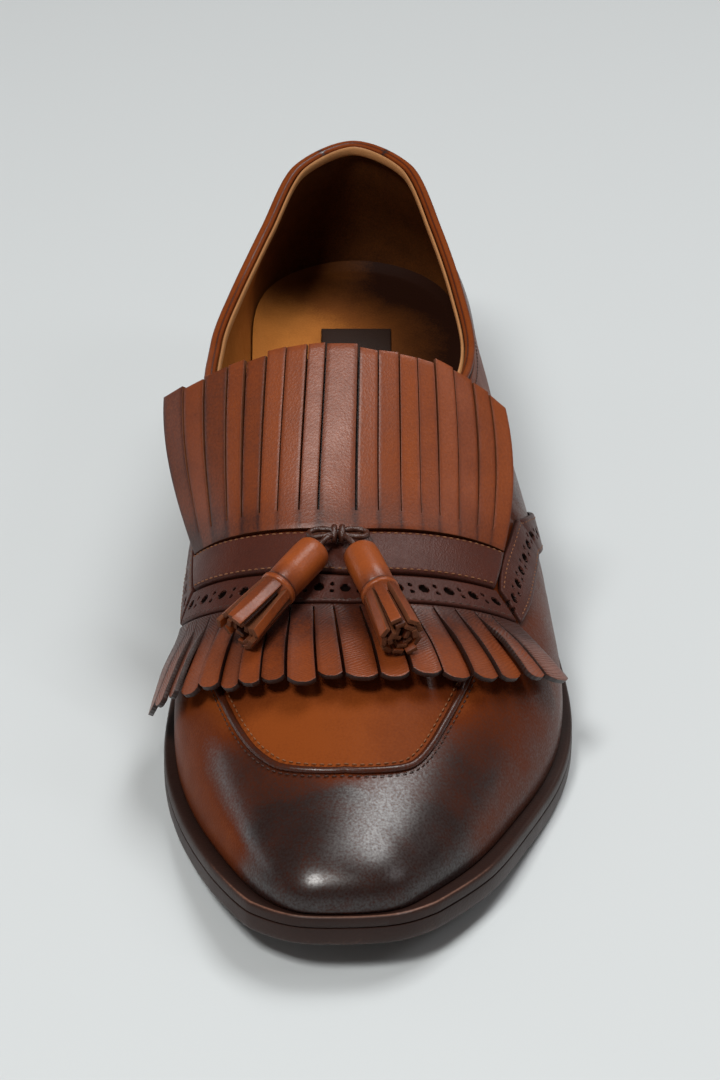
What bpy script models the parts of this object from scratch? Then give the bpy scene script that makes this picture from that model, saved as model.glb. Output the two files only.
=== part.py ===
"""A kiltie tassel loafer, left shoe, standing empty on its sole.

Metres, +Z up. The toe points to -Y, the lateral (outer) side to +X, and the origin lies on the floor
under the middle of the shoe. Every piece is worked out from one surface, the skin of the last, which is
given by a table of stations round the foot. A station's column is a cubic curve from the feather line,
where the upper meets the sole, up to the crown of the vamp or to the edge of the collar.
"""

from collections import namedtuple

import bmesh
import bpy
import numpy as np
from mathutils import Matrix

# Driving dimensions
LENGTH = 0.296  # scale of the stations; the outsole reaches from 0.003 to 0.989 of it
BALL_WIDTH = 0.0975  # across the ball, along the feather line
COLLAR_HEIGHT = 0.082  # floor to the top of the back seam
HEEL_HEIGHT = 0.0247  # floor to the tread above the heel
TOE_SPRING = 0.010  # lift of the toe's tread off the floor
SOLE_THICKNESS = 0.005
WELT_THICKNESS = 0.003
INSOLE_THICKNESS = 0.0035
WALL = 0.002  # leather and lining of the upper
GAP = 0.0003  # air between touching pieces
SKIN_GAP = 0.0005  # the same under an overlay, whose facets cut corners on the curved skin

# Where the tread leaves the floor, as shares of the length from the heel end
HEEL_SEAT = 0.15
TREAD_BACK = 0.615
TREAD_FRONT = 0.77
HEEL_BREAST = 0.26
TOP_LIFT = 0.006
WELT_INSET = 0.007  # how far the welt reaches in under the upper

# The last: foot and top are shares of the length from the heel end, lateral, medial, out and reach are
# shares of the ball width, and top_z, rise and drop are shares of the collar height. rise and out set how
# the column leaves the feather line, reach and drop how it arrives at its top, fall is the crown's slope.
Station = namedtuple(
    "Station",
    "name foot lateral medial top top_lateral top_medial top_z rise out reach drop fall",
)
STATIONS = [
    Station("toe_tip", 0.984, -0.054, -0.054, 0.910, -0.026, -0.026, 0.388, 0.105, 0.006, 0.140, 0.000, -0.26),
    Station("toe_flat", 0.978, 0.088, -0.148, 0.907, -0.026, -0.026, 0.391, 0.105, 0.006, 0.140, 0.000, -0.26),
    Station("toe_turn", 0.954, 0.176, -0.222, 0.902, -0.025, -0.025, 0.395, 0.110, 0.006, 0.146, 0.000, -0.26),
    Station("toe_side", 0.905, 0.290, -0.301, 0.889, -0.022, -0.022, 0.406, 0.128, 0.008, 0.190, 0.000, -0.25),
    Station("forepart", 0.834, 0.400, -0.388, 0.834, -0.016, -0.016, 0.454, 0.183, 0.012, 0.255, 0.000, -0.25),
    Station("ball_in", 0.736, 0.519, -0.456, 0.743, -0.012, -0.012, 0.537, 0.256, 0.017, 0.318, 0.000, -0.29),
    Station("ball_out", 0.649, 0.547, -0.458, 0.662, -0.015, -0.015, 0.632, 0.305, 0.026, 0.318, 0.000, -0.38),
    Station("strap", 0.595, 0.537, -0.448, 0.600, -0.023, -0.023, 0.731, 0.336, 0.033, 0.299, 0.000, -0.54),
    Station("throat", 0.556, 0.524, -0.437, 0.534, -0.023, -0.023, 0.866, 0.362, 0.040, 0.277, 0.000, -0.62),
    Station("turn", 0.527, 0.511, -0.422, 0.516, 0.072, -0.123, 0.880, 0.354, 0.041, 0.236, 0.030, -0.45),
    Station("corner", 0.480, 0.484, -0.392, 0.491, 0.195, -0.251, 0.866, 0.317, 0.041, 0.164, 0.085, -0.10),
    Station("collar", 0.415, 0.443, -0.347, 0.442, 0.313, -0.402, 0.825, 0.244, 0.041, 0.082, 0.150, 0.00),
    Station("quarter", 0.338, 0.398, -0.313, 0.358, 0.338, -0.394, 0.787, 0.183, 0.041, 0.041, 0.171, 0.00),
    Station("heel_fore", 0.243, 0.357, -0.306, 0.267, 0.313, -0.349, 0.811, 0.183, 0.036, 0.041, 0.183, 0.00),
    Station("heel_side", 0.142, 0.341, -0.316, 0.176, 0.256, -0.269, 0.890, 0.220, 0.036, 0.041, 0.220, 0.00),
    Station("heel_turn", 0.051, 0.251, -0.241, 0.084, 0.172, -0.174, 0.973, 0.232, 0.036, 0.046, 0.244, 0.00),
    Station("heel_back", 0.008, 0.005, 0.005, 0.044, 0.000, 0.000, 1.000, 0.244, 0.036, 0.046, 0.244, 0.00),
]
THROAT = [row.name for row in STATIONS].index("throat")
THROAT_SWEEP = 1.5  # how briskly the topline leaves the crown
CROWN_PULL = 0.008  # turns a column towards the outline's normal as it reaches its top

# How far the outsole stands out past the feather line
Edge = namedtuple("Edge", "foot stand_out")
SOLE_EDGES = [
    Edge(0.00, 0.0015),
    Edge(0.35, 0.0015),
    Edge(0.50, 0.0018),
    Edge(0.65, 0.0026),
    Edge(0.80, 0.0034),
    Edge(0.90, 0.0042),
    Edge(0.955, 0.0038),
    Edge(0.985, 0.0014),
]


def along_of(y):
    """Share of the length from the heel end."""
    return 0.5 - y / LENGTH


def tread_height(y):
    """Height of the outsole's underside: flat under the ball, sprung at the toe, raised over the heel."""
    along = along_of(y)
    spring = np.clip((along - TREAD_FRONT) / (1 - TREAD_FRONT), 0, 1) ** 1.35
    climb = np.clip((TREAD_BACK - along) / (TREAD_BACK - HEEL_SEAT), 0, 1)
    return TOE_SPRING * spring + HEEL_HEIGHT * climb * climb * (3 - 2 * climb)


FEATHER = SOLE_THICKNESS + GAP + WELT_THICKNESS + GAP  # height of the feather line over the tread


def station_columns(row, width, top_width):
    """One side of a station in metres: plan point of the foot, top point, and the shape of the column."""
    foot = [width * BALL_WIDTH, (0.5 - row.foot) * LENGTH]
    top = [top_width * BALL_WIDTH, (0.5 - row.top) * LENGTH, row.top_z * COLLAR_HEIGHT]
    shape = [row.rise * COLLAR_HEIGHT, row.out * BALL_WIDTH, row.reach * BALL_WIDTH, row.drop * COLLAR_HEIGHT]
    return foot + top + shape + [row.fall]


LATERAL = np.array([station_columns(row, row.lateral, row.top_lateral) for row in STATIONS])
MEDIAL = np.array([station_columns(row, row.medial, row.top_medial) for row in STATIONS])
LOOP = np.vstack([LATERAL, MEDIAL[-2:0:-1]])  # toe, lateral side, heel, medial side


def plan_steps(side):
    """Knot steps along one side: the root of the plan distance keeps the curve calm at short steps."""
    return np.sqrt(np.linalg.norm(np.diff(side[:, :2], axis=0), axis=1))


HALF_STEPS = (plan_steps(LATERAL) + plan_steps(MEDIAL)) / 2  # equal on both sides, so the crowns meet
STEPS = np.concatenate([HALF_STEPS, HALF_STEPS[::-1]])
KNOTS = np.concatenate([[0], np.cumsum(STEPS)[:-1]])
PERIOD = STEPS.sum()
HALF = PERIOD / 2
THROAT_U = KNOTS[THROAT]


def even_slopes(rise):
    """Slopes of the closed cubic curve whose bending runs evenly through every row."""
    before = 1 / np.roll(STEPS, 1)
    after = 1 / STEPS
    system = np.diag(2 * (before + after))
    system += np.roll(np.diag(before), -1, axis=1) + np.roll(np.diag(after), 1, axis=1)
    return np.linalg.solve(system, 3 * (before[:, None] * np.roll(rise, 1, axis=0) + after[:, None] * rise))


def steady_slopes(rise):
    """Slopes of a cubic curve that never overshoots a row: harmonic means, and level where it turns."""
    before = np.roll(rise, 1, axis=0)
    one_way = before * rise > 0
    before_share = (2 * STEPS + np.roll(STEPS, 1))[:, None]
    after_share = (STEPS + 2 * np.roll(STEPS, 1))[:, None]
    mean = before_share / np.where(one_way, before, 1) + after_share / np.where(one_way, rise, 1)
    return np.where(one_way, (before_share + after_share) / np.where(one_way, mean, 1), 0)


RISES = (np.roll(LOOP, -1, axis=0) - LOOP) / STEPS[:, None]
START_SLOPES = np.hstack([even_slopes(RISES[:, :2]), steady_slopes(RISES[:, 2:])])
END_SLOPES = START_SLOPES.copy()

# The topline leaves the crown sideways in a round throat, so the top's curve breaks there
MEDIAL_THROAT = len(LOOP) - THROAT
START_SLOPES[THROAT, 2:4] = RISES[THROAT, 2] * THROAT_SWEEP, 0
END_SLOPES[MEDIAL_THROAT, 2:4] = RISES[MEDIAL_THROAT - 1, 2] * THROAT_SWEEP, 0


def loop_at(u):
    """Station columns at loop parameter u, on cubic curves between the stations."""
    u = np.mod(np.asarray(u, float), PERIOD)
    i = np.searchsorted(KNOTS, u, side="right") - 1
    j = (i + 1) % len(KNOTS)
    step = STEPS[i][..., None]
    t = (u - KNOTS[i])[..., None] / step
    start = (1 + 2 * t) * (1 - t) ** 2 * LOOP[i] + t * (1 - t) ** 2 * step * START_SLOPES[i]
    end = t * t * (3 - 2 * t) * LOOP[j] + t * t * (t - 1) * step * END_SLOPES[j]
    return start + end


def outline_at(u):
    """Station column, feather line and its level outward normal at loop parameter u."""
    small = PERIOD * 1e-5
    row = loop_at(u)
    run = loop_at(u + small)[..., :2] - loop_at(u - small)[..., :2]
    normal = np.stack([run[..., 1], -run[..., 0], 0 * run[..., 0]], axis=-1)
    normal /= np.linalg.norm(normal, axis=-1, keepdims=True)
    foot = np.concatenate([row[..., :2], (tread_height(row[..., 1]) + FEATHER)[..., None]], axis=-1)
    return row, foot, normal


def skin(u, v):
    """The last's surface: cubic curves from the feather line (v = 0) to the crown or collar (v = 1)."""
    u, v = np.broadcast_arrays(np.asarray(u, float), np.asarray(v, float))
    row, foot, normal = outline_at(u)
    top = row[..., 2:5]
    rise, out, reach, drop, fall = np.moveaxis(row[..., 5:], -1, 0)[..., None]
    up = np.array([0, 0, 1.0])
    inward = (foot - top) * [1, 1, 0]
    flare = np.maximum(-(inward * normal).sum(axis=-1, keepdims=True), 0) / 3
    heading = inward + normal * CROWN_PULL
    heading /= np.linalg.norm(heading, axis=-1, keepdims=True)
    low = foot + normal * (out + flare) + up * rise
    high = top + heading * (reach - flare) - up * (drop + fall * heading[..., 1:2] * reach)
    v = v[..., None]
    w = 1 - v
    return foot * w**3 + 3 * low * w * w * v + 3 * high * w * v * v + top * v**3


# Building closed solids

Finish = namedtuple("Finish", "colour roughness")
SOLE_EDGE = Finish((0.045, 0.020, 0.013), 0.45)
WELT_EDGE = Finish((0.060, 0.028, 0.018), 0.40)
LINING = Finish((0.300, 0.130, 0.035), 0.55)
RUBBER = Finish((0.020, 0.012, 0.010), 0.60)
COGNAC = Finish((0.190, 0.048, 0.014), 0.35)
SADDLE = Finish((0.070, 0.020, 0.013), 0.32)
FRINGE = Finish((0.160, 0.045, 0.018), 0.45)
PATCH = Finish((0.018, 0.011, 0.009), 0.50)


def add_object(name, points, faces, finish):
    """A mesh object with welded points, outward faces and its own finish."""
    mesh = bpy.data.meshes.new(name)
    build = bmesh.new()
    corners = [build.verts.new(point) for point in np.asarray(points).reshape(-1, 3)]
    for face in faces:
        build.faces.new([corners[k] for k in face])
    bmesh.ops.remove_doubles(build, verts=build.verts, dist=1e-5)
    bmesh.ops.dissolve_degenerate(build, edges=build.edges, dist=1e-6)
    if all(len(edge.link_faces) == 2 for edge in build.edges):
        bmesh.ops.recalc_face_normals(build, faces=build.faces)
    build.to_mesh(mesh)
    build.free()
    mesh.shade_smooth()
    obj = bpy.data.objects.new(name, mesh)
    bpy.context.collection.objects.link(obj)
    material = bpy.data.materials.new(name + "_finish")
    material.use_nodes = True
    shader = material.node_tree.nodes["Principled BSDF"]
    shader.inputs["Base Color"].default_value = (*finish.colour, 1)
    shader.inputs["Roughness"].default_value = finish.roughness
    shader.inputs["Metallic"].default_value = 0
    mesh.materials.append(material)
    return obj


def thicken(obj, thickness, side):
    """Gives a sheet its wall, on the outer (1) or inner (-1) side of its faces."""
    wall = obj.modifiers.new("wall", "SOLIDIFY")
    wall.thickness = thickness
    wall.offset = side
    wall.use_even_offset = True
    wall.use_quality_normals = True


def grid_faces(columns, rows, closed=False):
    """Quads of a grid whose points are stored column by column."""
    faces = []
    for i in range(columns if closed else columns - 1):
        j = (i + 1) % columns
        faces += [(i * rows + k, j * rows + k, j * rows + k + 1, i * rows + k + 1) for k in range(rows - 1)]
    return faces


def ladder(rungs, base, flip):
    """Flat cap of a ring, as quads between rungs that join its two sides."""
    faces = []
    for (a, b), (c, d) in zip(rungs, rungs[1:]):
        face = list(dict.fromkeys([base + a, base + c, base + d, base + b]))
        faces.append(face[::-1] if flip else face)
    return faces


def stacked(name, rings, finish, rungs=None, closed=False):
    """A solid from rings laid one over the other. Rungs cap its ends, unless they shrink to a point."""
    count = len(rings[0])
    faces = []
    for k in range(len(rings) if closed else len(rings) - 1):
        low = k * count
        high = (k + 1) % len(rings) * count
        faces += [(low + i, low + (i + 1) % count, high + (i + 1) % count, high + i) for i in range(count)]
    if rungs:
        faces += ladder(rungs, 0, True) + ladder(rungs, (len(rings) - 1) * count, False)
    return add_object(name, np.concatenate(rings), faces, finish)


# The sole

SOLE_COLUMNS = 38  # on each side
SIDE_U = HALF * np.linspace(0, 1, SOLE_COLUMNS + 1)
SOLE_U = np.concatenate([SIDE_U, PERIOD - SIDE_U[-2:0:-1]])
SOLE_RUNGS = [(i, -i % len(SOLE_U)) for i in range(SOLE_COLUMNS + 1)]

# Profiles of the sole's pieces: how far a ring lies outside the sole's edge, and its height
RingRow = namedtuple("RingRow", "offset height")
OUTSOLE_EDGE = [
    RingRow(-0.0012, 0),
    RingRow(-0.0003, 0.0007),
    RingRow(0, 0.0018),
    RingRow(0, 0.0042),
    RingRow(-0.0004, SOLE_THICKNESS),
]
WELT_LOW = SOLE_THICKNESS + GAP
WELT_EDGE_ROWS = [
    RingRow(-0.0006, WELT_LOW),
    RingRow(-0.0006, WELT_LOW + WELT_THICKNESS - 0.0008),
    RingRow(-0.0012, WELT_LOW + WELT_THICKNESS),
]
STACK_EDGE = [RingRow(-0.0018, TOP_LIFT + GAP), RingRow(-0.0012, TOP_LIFT + 0.006)]
STACK_SEAT = RingRow(-0.0010, -GAP)  # over the tread
LIFT_EDGE = [RingRow(-0.0024, 0), RingRow(-0.0018, 0.0006), RingRow(-0.0018, TOP_LIFT)]
INSOLE_BEVEL = 0.0008


def stand_out(y):
    """How far the outsole's edge lies outside the feather line."""
    return np.interp(along_of(y), [edge.foot for edge in SOLE_EDGES], [edge.stand_out for edge in SOLE_EDGES])


def sole_ring(u, offset, height, follow_edge=True):
    """A ring round the foot, offset from the sole's edge or from the feather line, over the tread."""
    foot, normal = outline_at(u)[1:]
    reach = stand_out(foot[:, 1]) * follow_edge + offset
    ring = foot + normal * reach[:, None]
    ring[:, 2] = tread_height(ring[:, 1]) + height
    return ring


def make_outsole():
    """Outsole with rounded edges; its underside lies on the floor below the ball."""
    rings = [sole_ring(SOLE_U, row.offset, row.height) for row in OUTSOLE_EDGE]
    stacked("outsole", rings, SOLE_EDGE, SOLE_RUNGS)


def make_welt():
    """Flat ring between the outsole and the upper."""
    rings = [sole_ring(SOLE_U, row.offset, row.height) for row in WELT_EDGE_ROWS]
    inside = (WELT_LOW + WELT_THICKNESS, WELT_LOW)
    rings += [sole_ring(SOLE_U, -WELT_INSET, height, False) for height in inside]
    stacked("welt", rings, WELT_EDGE, closed=True)


def make_insole():
    """Footbed: its lower step fills the welt, its upper step lies inside the wall of the upper."""
    inner = -WELT_INSET - GAP
    outer = -WALL - 4 * GAP
    top = FEATHER + INSOLE_THICKNESS
    rings = [
        sole_ring(SOLE_U, inner, WELT_LOW, False),
        sole_ring(SOLE_U, inner, FEATHER, False),
        sole_ring(SOLE_U, outer, FEATHER, False),
        sole_ring(SOLE_U, outer, top - INSOLE_BEVEL, False),
        sole_ring(SOLE_U, outer - INSOLE_BEVEL, top, False),
    ]
    stacked("insole", rings, LINING, SOLE_RUNGS)


HEEL_COLUMNS = 18  # on each side


def heel_ring(offset, height, over_tread):
    """Ring round the heel, closed straight across at its breast."""
    breast = np.interp(-HEEL_BREAST, -along_of(loop_at(SIDE_U)[:, 1]), SIDE_U)
    side = np.linspace(breast, HALF, HEEL_COLUMNS + 1)
    ring = sole_ring(np.concatenate([side, PERIOD - side[-2::-1]]), offset, height)
    if not over_tread:
        ring[:, 2] = height
    return ring


def make_heel():
    """Stacked heel under the heel seat, and the lift that it wears down on."""
    rungs = [(i, 2 * HEEL_COLUMNS - i) for i in range(HEEL_COLUMNS + 1)]
    stack = [heel_ring(row.offset, row.height, False) for row in STACK_EDGE]
    stack.append(heel_ring(STACK_SEAT.offset, STACK_SEAT.height, True))
    stacked("heel_stack", stack, SOLE_EDGE, rungs)
    lift = [heel_ring(row.offset, row.height, False) for row in LIFT_EDGE]
    stacked("heel_top_lift", lift, RUBBER, rungs)


# The upper

UPPER_ROWS = 11
UPPER_SPLITS = 3  # columns between two stations


def side_columns():
    """Loop parameters of the lateral side, with a column on every station."""
    steps = [np.linspace(a, b, UPPER_SPLITS, endpoint=False) for a, b in zip(KNOTS, KNOTS[1 : len(STATIONS)])]
    return np.concatenate(steps + [[HALF]])


def make_upper():
    """Hollow upper: the skin of the last with a wall inside it, open at the throat, collar and sole."""
    side = side_columns()
    u = np.concatenate([side, PERIOD - side[-2:0:-1]])
    v = np.linspace(0, 1, UPPER_ROWS)
    points = skin(u[:, None], v[None, :])
    upper = add_object("upper", points, grid_faces(len(u), UPPER_ROWS, True), COGNAC)
    thicken(upper, WALL, -1)


# Places on the upper, named by the foot station of their column and by their girth: the share of the way
# from the crown (0) down to the feather line, lateral (+1) or medial (-1)

STATION_U = HALF * np.linspace(0, 1, 600)
STATION_FOOT = along_of(loop_at(STATION_U)[:, 1])


def lifted(u, v, lift):
    """Points a given height over the skin, and the skin's outward normal there."""
    small = PERIOD * 1e-4
    point = skin(u, v)
    around = skin(u + small, v) - skin(u - small, v)
    up = point - skin(u, v - 1e-3)
    normal = np.cross(around, up)
    normal /= np.linalg.norm(normal, axis=-1, keepdims=True)
    return point + normal * np.asarray(lift)[..., None], normal


def on_upper(foot, girth, lift):
    """The same for a foot station and a girth."""
    foot, girth, lift = np.broadcast_arrays(foot, girth, lift)
    u = np.interp(-foot, -STATION_FOOT, STATION_U)
    return lifted(np.where(girth < 0, PERIOD - u, u), 1 - np.abs(girth), lift)


# Edges across the vamp, from the medial to the lateral end: each row gives girth and foot station
EdgePoint = namedtuple("EdgePoint", "girth foot")
STRAP_BACK = [
    EdgePoint(-0.64, 0.580),
    EdgePoint(-0.26, 0.619),
    EdgePoint(0.00, 0.621),
    EdgePoint(0.23, 0.621),
    EdgePoint(0.51, 0.604),
]
STRAP_FRONT = [
    EdgePoint(-0.60, 0.626),
    EdgePoint(-0.26, 0.657),
    EdgePoint(0.00, 0.661),
    EdgePoint(0.23, 0.661),
    EdgePoint(0.45, 0.651),
]
BAND_FRONT = [
    EdgePoint(-0.72, 0.640),
    EdgePoint(-0.26, 0.690),
    EdgePoint(0.00, 0.690),
    EdgePoint(0.24, 0.690),
    EdgePoint(0.54, 0.674),
]
FRINGE_TIPS = [
    EdgePoint(-0.93, 0.712),
    EdgePoint(-0.38, 0.785),
    EdgePoint(0.00, 0.800),
    EdgePoint(0.43, 0.768),
    EdgePoint(0.78, 0.706),
]


def edge_at(rows, share):
    """(foot, girth) along an edge, at shares of its girth from the medial end."""
    girths = [row.girth for row in rows]
    girth = girths[0] + (girths[-1] - girths[0]) * np.asarray(share)
    return np.polyval(np.polyfit(girths, [row.foot for row in rows], 3), girth), girth


def between_edges(front, back, across, along, lift):
    """A sheet over the skin between two edges: across is the share from medial to lateral, along from
    the front edge to the back one."""
    foot_front, girth_front = edge_at(front, across)
    foot_back, girth_back = edge_at(back, across)
    foot = foot_front + (foot_back - foot_front) * along
    girth = girth_front + (girth_back - girth_front) * along
    return on_upper(foot, girth, lift)[0]


def overlay(name, sheet, thickness, finish):
    """A leather overlay: a grid of points over the skin, thickened outwards."""
    columns, rows = sheet.shape[:2]
    thicken(add_object(name, sheet, grid_faces(columns, rows), finish), thickness, 1)


STRAP_THICKNESS = 0.0018
BAND_THICKNESS = 0.0013
END_INSET = 0.010  # share of an edge left free at each end, where the next piece begins
SIDE_INSET = 0.03  # share of a band's width left free to its neighbour
SADDLE_COLUMNS = 21
STRAP_ROWS = 4
BAND_ROWS = 3


def make_saddle():
    """Smooth strap across the instep, and the punched band in front of it."""
    across = np.linspace(END_INSET, 1 - END_INSET, SADDLE_COLUMNS)[:, None]
    along = np.linspace(SIDE_INSET, 1, STRAP_ROWS)[None, :]
    strap = between_edges(STRAP_FRONT, STRAP_BACK, across, along, SKIN_GAP)
    overlay("saddle_strap", strap, STRAP_THICKNESS, SADDLE)
    along = np.linspace(0, 1 - SIDE_INSET, BAND_ROWS)[None, :]
    band = between_edges(BAND_FRONT, STRAP_FRONT, across, along, SKIN_GAP)
    overlay("brogue_band_front", band, BAND_THICKNESS, SADDLE)


# Punched wings: from the saddle's corner back along the quarter and down to the sole
WingRow = namedtuple("WingRow", "low_foot low_girth high_foot high_girth")
WINGS = {
    "brogue_wing_lateral": [
        WingRow(0.671, 0.551, 0.649, 0.465),
        WingRow(0.600, 0.660, 0.591, 0.530),
        WingRow(0.537, 0.760, 0.533, 0.640),
        WingRow(0.490, 0.870, 0.475, 0.750),
        WingRow(0.455, 0.975, 0.405, 0.975),
    ],
    "brogue_wing_medial": [
        WingRow(0.635, -0.731, 0.621, -0.615),
        WingRow(0.590, -0.770, 0.572, -0.663),
        WingRow(0.540, -0.815, 0.525, -0.700),
        WingRow(0.495, -0.885, 0.470, -0.775),
        WingRow(0.460, -0.975, 0.410, -0.975),
    ],
}
WING_COLUMNS = 15
WING_ROWS = 4


def curve_rows(rows, count):
    """A table's rows carried onto a smooth curve of count points: a cubic through each column."""
    rows = np.array(rows)
    share = np.linspace(0, 1, len(rows))
    fine = np.linspace(0, 1, count)
    return np.stack([np.polyval(np.polyfit(share, column, len(rows) - 1), fine) for column in rows.T])


def make_wings():
    """Both wings, lateral and medial."""
    for name, rows in WINGS.items():
        low_foot, low_girth, high_foot, high_girth = curve_rows(rows, WING_COLUMNS)[:, :, None]
        share = np.linspace(0, 1, WING_ROWS)[None, :]
        if low_girth[0] > 0:
            share = share[:, ::-1]
        foot = high_foot + (low_foot - high_foot) * share
        girth = high_girth + (low_girth - high_girth) * share
        overlay(name, on_upper(foot, girth, SKIN_GAP)[0], BAND_THICKNESS, SADDLE)


# The apron's raised seam, from its front round both sides to where the fringe covers it
ApronRow = namedtuple("ApronRow", "foot lateral medial")
APRON = [
    ApronRow(0.881, 0.000, 0.000),
    ApronRow(0.877, 0.105, -0.110),
    ApronRow(0.868, 0.215, -0.228),
    ApronRow(0.857, 0.270, -0.300),
    ApronRow(0.836, 0.305, -0.366),
    ApronRow(0.808, 0.327, -0.411),
    ApronRow(0.780, 0.347, -0.441),
    ApronRow(0.752, 0.366, -0.472),
]
SEAM_SPLITS = 3
SEAM_SECTION = [(-0.0014, 0), (-0.0008, 0.0008), (0, 0.0011), (0.0008, 0.0008), (0.0014, 0)]  # across, up


def through_points(points, splits):
    """A smooth curve through points, each span split evenly."""
    points = np.asarray(points, float)
    slopes = np.gradient(points, axis=0)
    t = np.arange(splits)[None, :, None] / splits
    start = (1 + 2 * t) * (1 - t) ** 2 * points[:-1, None] + t * (1 - t) ** 2 * slopes[:-1, None]
    end = t * t * (3 - 2 * t) * points[1:, None] + t * t * (t - 1) * slopes[1:, None]
    return np.vstack([(start + end).reshape(-1, points.shape[1]), points[-1:]])


def swept_rings(path, normals, section, closed=False):
    """Rings of a section carried along a path; its first axis lies across the path, its second along the
    given normals."""
    around = np.vstack([path[-1:], path, path[:1]])
    run = around[2:] - around[:-2] if closed else np.gradient(path, axis=0)
    across = np.cross(run, normals)
    across /= np.linalg.norm(across, axis=1, keepdims=True)
    flat = section[:, 0, None] * across[:, None]
    return list(path[:, None] + flat + section[:, 1, None] * normals[:, None])


def cap_rungs(count):
    """Rungs over the end of a section with count corners."""
    return [(i, -i % count) for i in range(count // 2 + 1)]


def make_apron_seam():
    """The ridge where the apron is sewn to the vamp."""
    medial = [(row.foot, row.medial) for row in APRON[:0:-1]]
    lateral = [(row.foot, row.lateral) for row in APRON]
    foot, girth = through_points(medial + lateral, SEAM_SPLITS).T
    path, normals = on_upper(foot, girth, SKIN_GAP)
    section = np.array(SEAM_SECTION)
    rings = swept_rings(path, normals, section)
    stacked("apron_seam", rings, COGNAC, cap_rungs(len(section)))


# The kiltie: two fans of strips held under the strap

FRINGE_THICKNESS = 0.0013
SLIT = 0.0007
UPPER_STRIPS = 17
LOWER_STRIPS = 15
UPPER_LENGTHWISE = [0.0, 0.12, 0.35, 0.6, 0.8, 1.0]
LOWER_LENGTHWISE = [0.0, 0.2, 0.5, 0.8, 1.0]
STRIP_TIP = 0.55  # width of a lower strip's clipped end
TIP_LIFT = 0.0042  # how far the lower strips curl off the vamp
STRIP_STAGGER = 0.0007  # every second strip stands a little higher

FAN_INSET = 0.01  # share of the strap's edge left free beside a fan
FAN_GAP = 0.003  # share of the length between a fan's root and the edge it comes from under
FAN_LEAN = 0.4  # how closely the upper fan follows the vamp as it leaves the strap
FAN_BULGE = 0.0028  # how far its outer strips bow out at half their length

# Free corners and centre of the upper fan: across from the middle, station and height
FanPoint = namedtuple("FanPoint", "share x along z")
UPPER_FAN = [
    FanPoint(0.0, -0.049, 0.466, 0.0670),
    FanPoint(0.5, -0.002, 0.498, 0.0885),
    FanPoint(1.0, 0.038, 0.505, 0.0715),
]


def strip_cuts(count, centre_width):
    """Shares across a fan where its strips begin and end, the centre strip wider than the others."""
    widths = np.ones(count)
    widths[count // 2] = centre_width
    return np.concatenate([[0], np.cumsum(widths)]) / widths.sum()


def fringe(name, place, cuts, lengthwise, width, tip):
    """A fan of strips that are whole along their root. place gives a point for a share across, a share
    along and a strip's own lift."""
    half_slit = SLIT / width / 2
    left = cuts[:-1] + half_slit * (np.arange(len(cuts) - 1) > 0)
    right = cuts[1:] - half_slit * (np.arange(len(cuts) - 1) < len(cuts) - 2)
    middle = (left + right) / 2
    across = np.repeat(np.stack([left, right], axis=1).reshape(-1, 1), len(lengthwise), axis=1)
    across[:, -1] = np.repeat(middle, 2) + (across[:, -1] - np.repeat(middle, 2)) * tip
    along = np.array(lengthwise)[None, :]
    stagger = np.repeat(STRIP_STAGGER * (np.arange(len(left)) % 2), 2)[:, None] * np.minimum(along * 2, 1)
    stagger[:, :2] = 0
    sheet = place(across, along, stagger)
    columns, rows = sheet.shape[:2]
    faces = grid_faces(columns, rows)
    kept = [face for n, face in enumerate(faces) if n // (rows - 1) % 2 == 0 or n % (rows - 1) == 0]
    thicken(add_object(name, sheet, kept, FRINGE), FRINGE_THICKNESS, 1)


def upper_fan(across, along, stagger):
    """Point of the upper fan: it leaves the strap's back edge along the vamp and rises to its free edge."""
    foot, girth = edge_at(STRAP_BACK, FAN_INSET + (1 - 2 * FAN_INSET) * across)
    root = on_upper(foot - FAN_GAP, girth, SKIN_GAP)[0]
    ahead = on_upper(foot - 4 * FAN_GAP, girth, SKIN_GAP)[0] - root
    ahead /= np.linalg.norm(ahead, axis=-1, keepdims=True)
    fan = np.array(UPPER_FAN)
    free = [np.polyval(np.polyfit(fan[:, 0], fan[:, k], 2), across) for k in (1, 2, 3)]
    edge = np.stack([free[0], (0.5 - free[1]) * LENGTH, free[2]], axis=-1)
    reach = np.linalg.norm(edge - root, axis=-1, keepdims=True)
    chord = (edge - root) / reach
    low = root + (ahead * FAN_LEAN + chord * (1 - FAN_LEAN)) * reach / 3
    high = edge - chord * reach / 3
    t = np.broadcast_to(along, across.shape)[..., None]
    s = 1 - t
    point = root * s**3 + 3 * low * s * s * t + 3 * high * s * t * t + edge * t**3
    point[..., 0] += FAN_BULGE * (2 * across - 1) ** 3 * 4 * (s * t)[..., 0]
    lift = np.cross(np.gradient(point, axis=0), chord)
    lift /= np.linalg.norm(lift, axis=-1, keepdims=True)
    return point + lift * stagger[..., None]


def lower_fan(across, along, stagger):
    """Point of the lower fan: it lies on the vamp at the band and curls off it towards its tips."""
    foot_tip, girth_tip = edge_at(FRINGE_TIPS, across)
    foot_root, girth_root = edge_at(BAND_FRONT, FAN_INSET + (1 - 2 * FAN_INSET) * across)
    foot_root = foot_root + FAN_GAP
    along = np.broadcast_to(along, across.shape)
    foot = foot_root + (foot_tip - foot_root) * along
    girth = girth_root + (girth_tip - girth_root) * along
    return on_upper(foot, girth, SKIN_GAP + TIP_LIFT * along**1.5 + stagger)[0]


def make_kiltie():
    """Both fans. The lower one is laid from the lateral side, so that its faces point out too."""
    fringe("kiltie_upper", upper_fan, strip_cuts(UPPER_STRIPS, 1.7), UPPER_LENGTHWISE, 0.095, 1.0)

    def from_lateral(across, along, stagger):
        return lower_fan(1 - across, along, stagger)

    fringe("kiltie_lower", from_lateral, strip_cuts(LOWER_STRIPS, 1.2), LOWER_LENGTHWISE, 0.115, STRIP_TIP)


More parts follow.
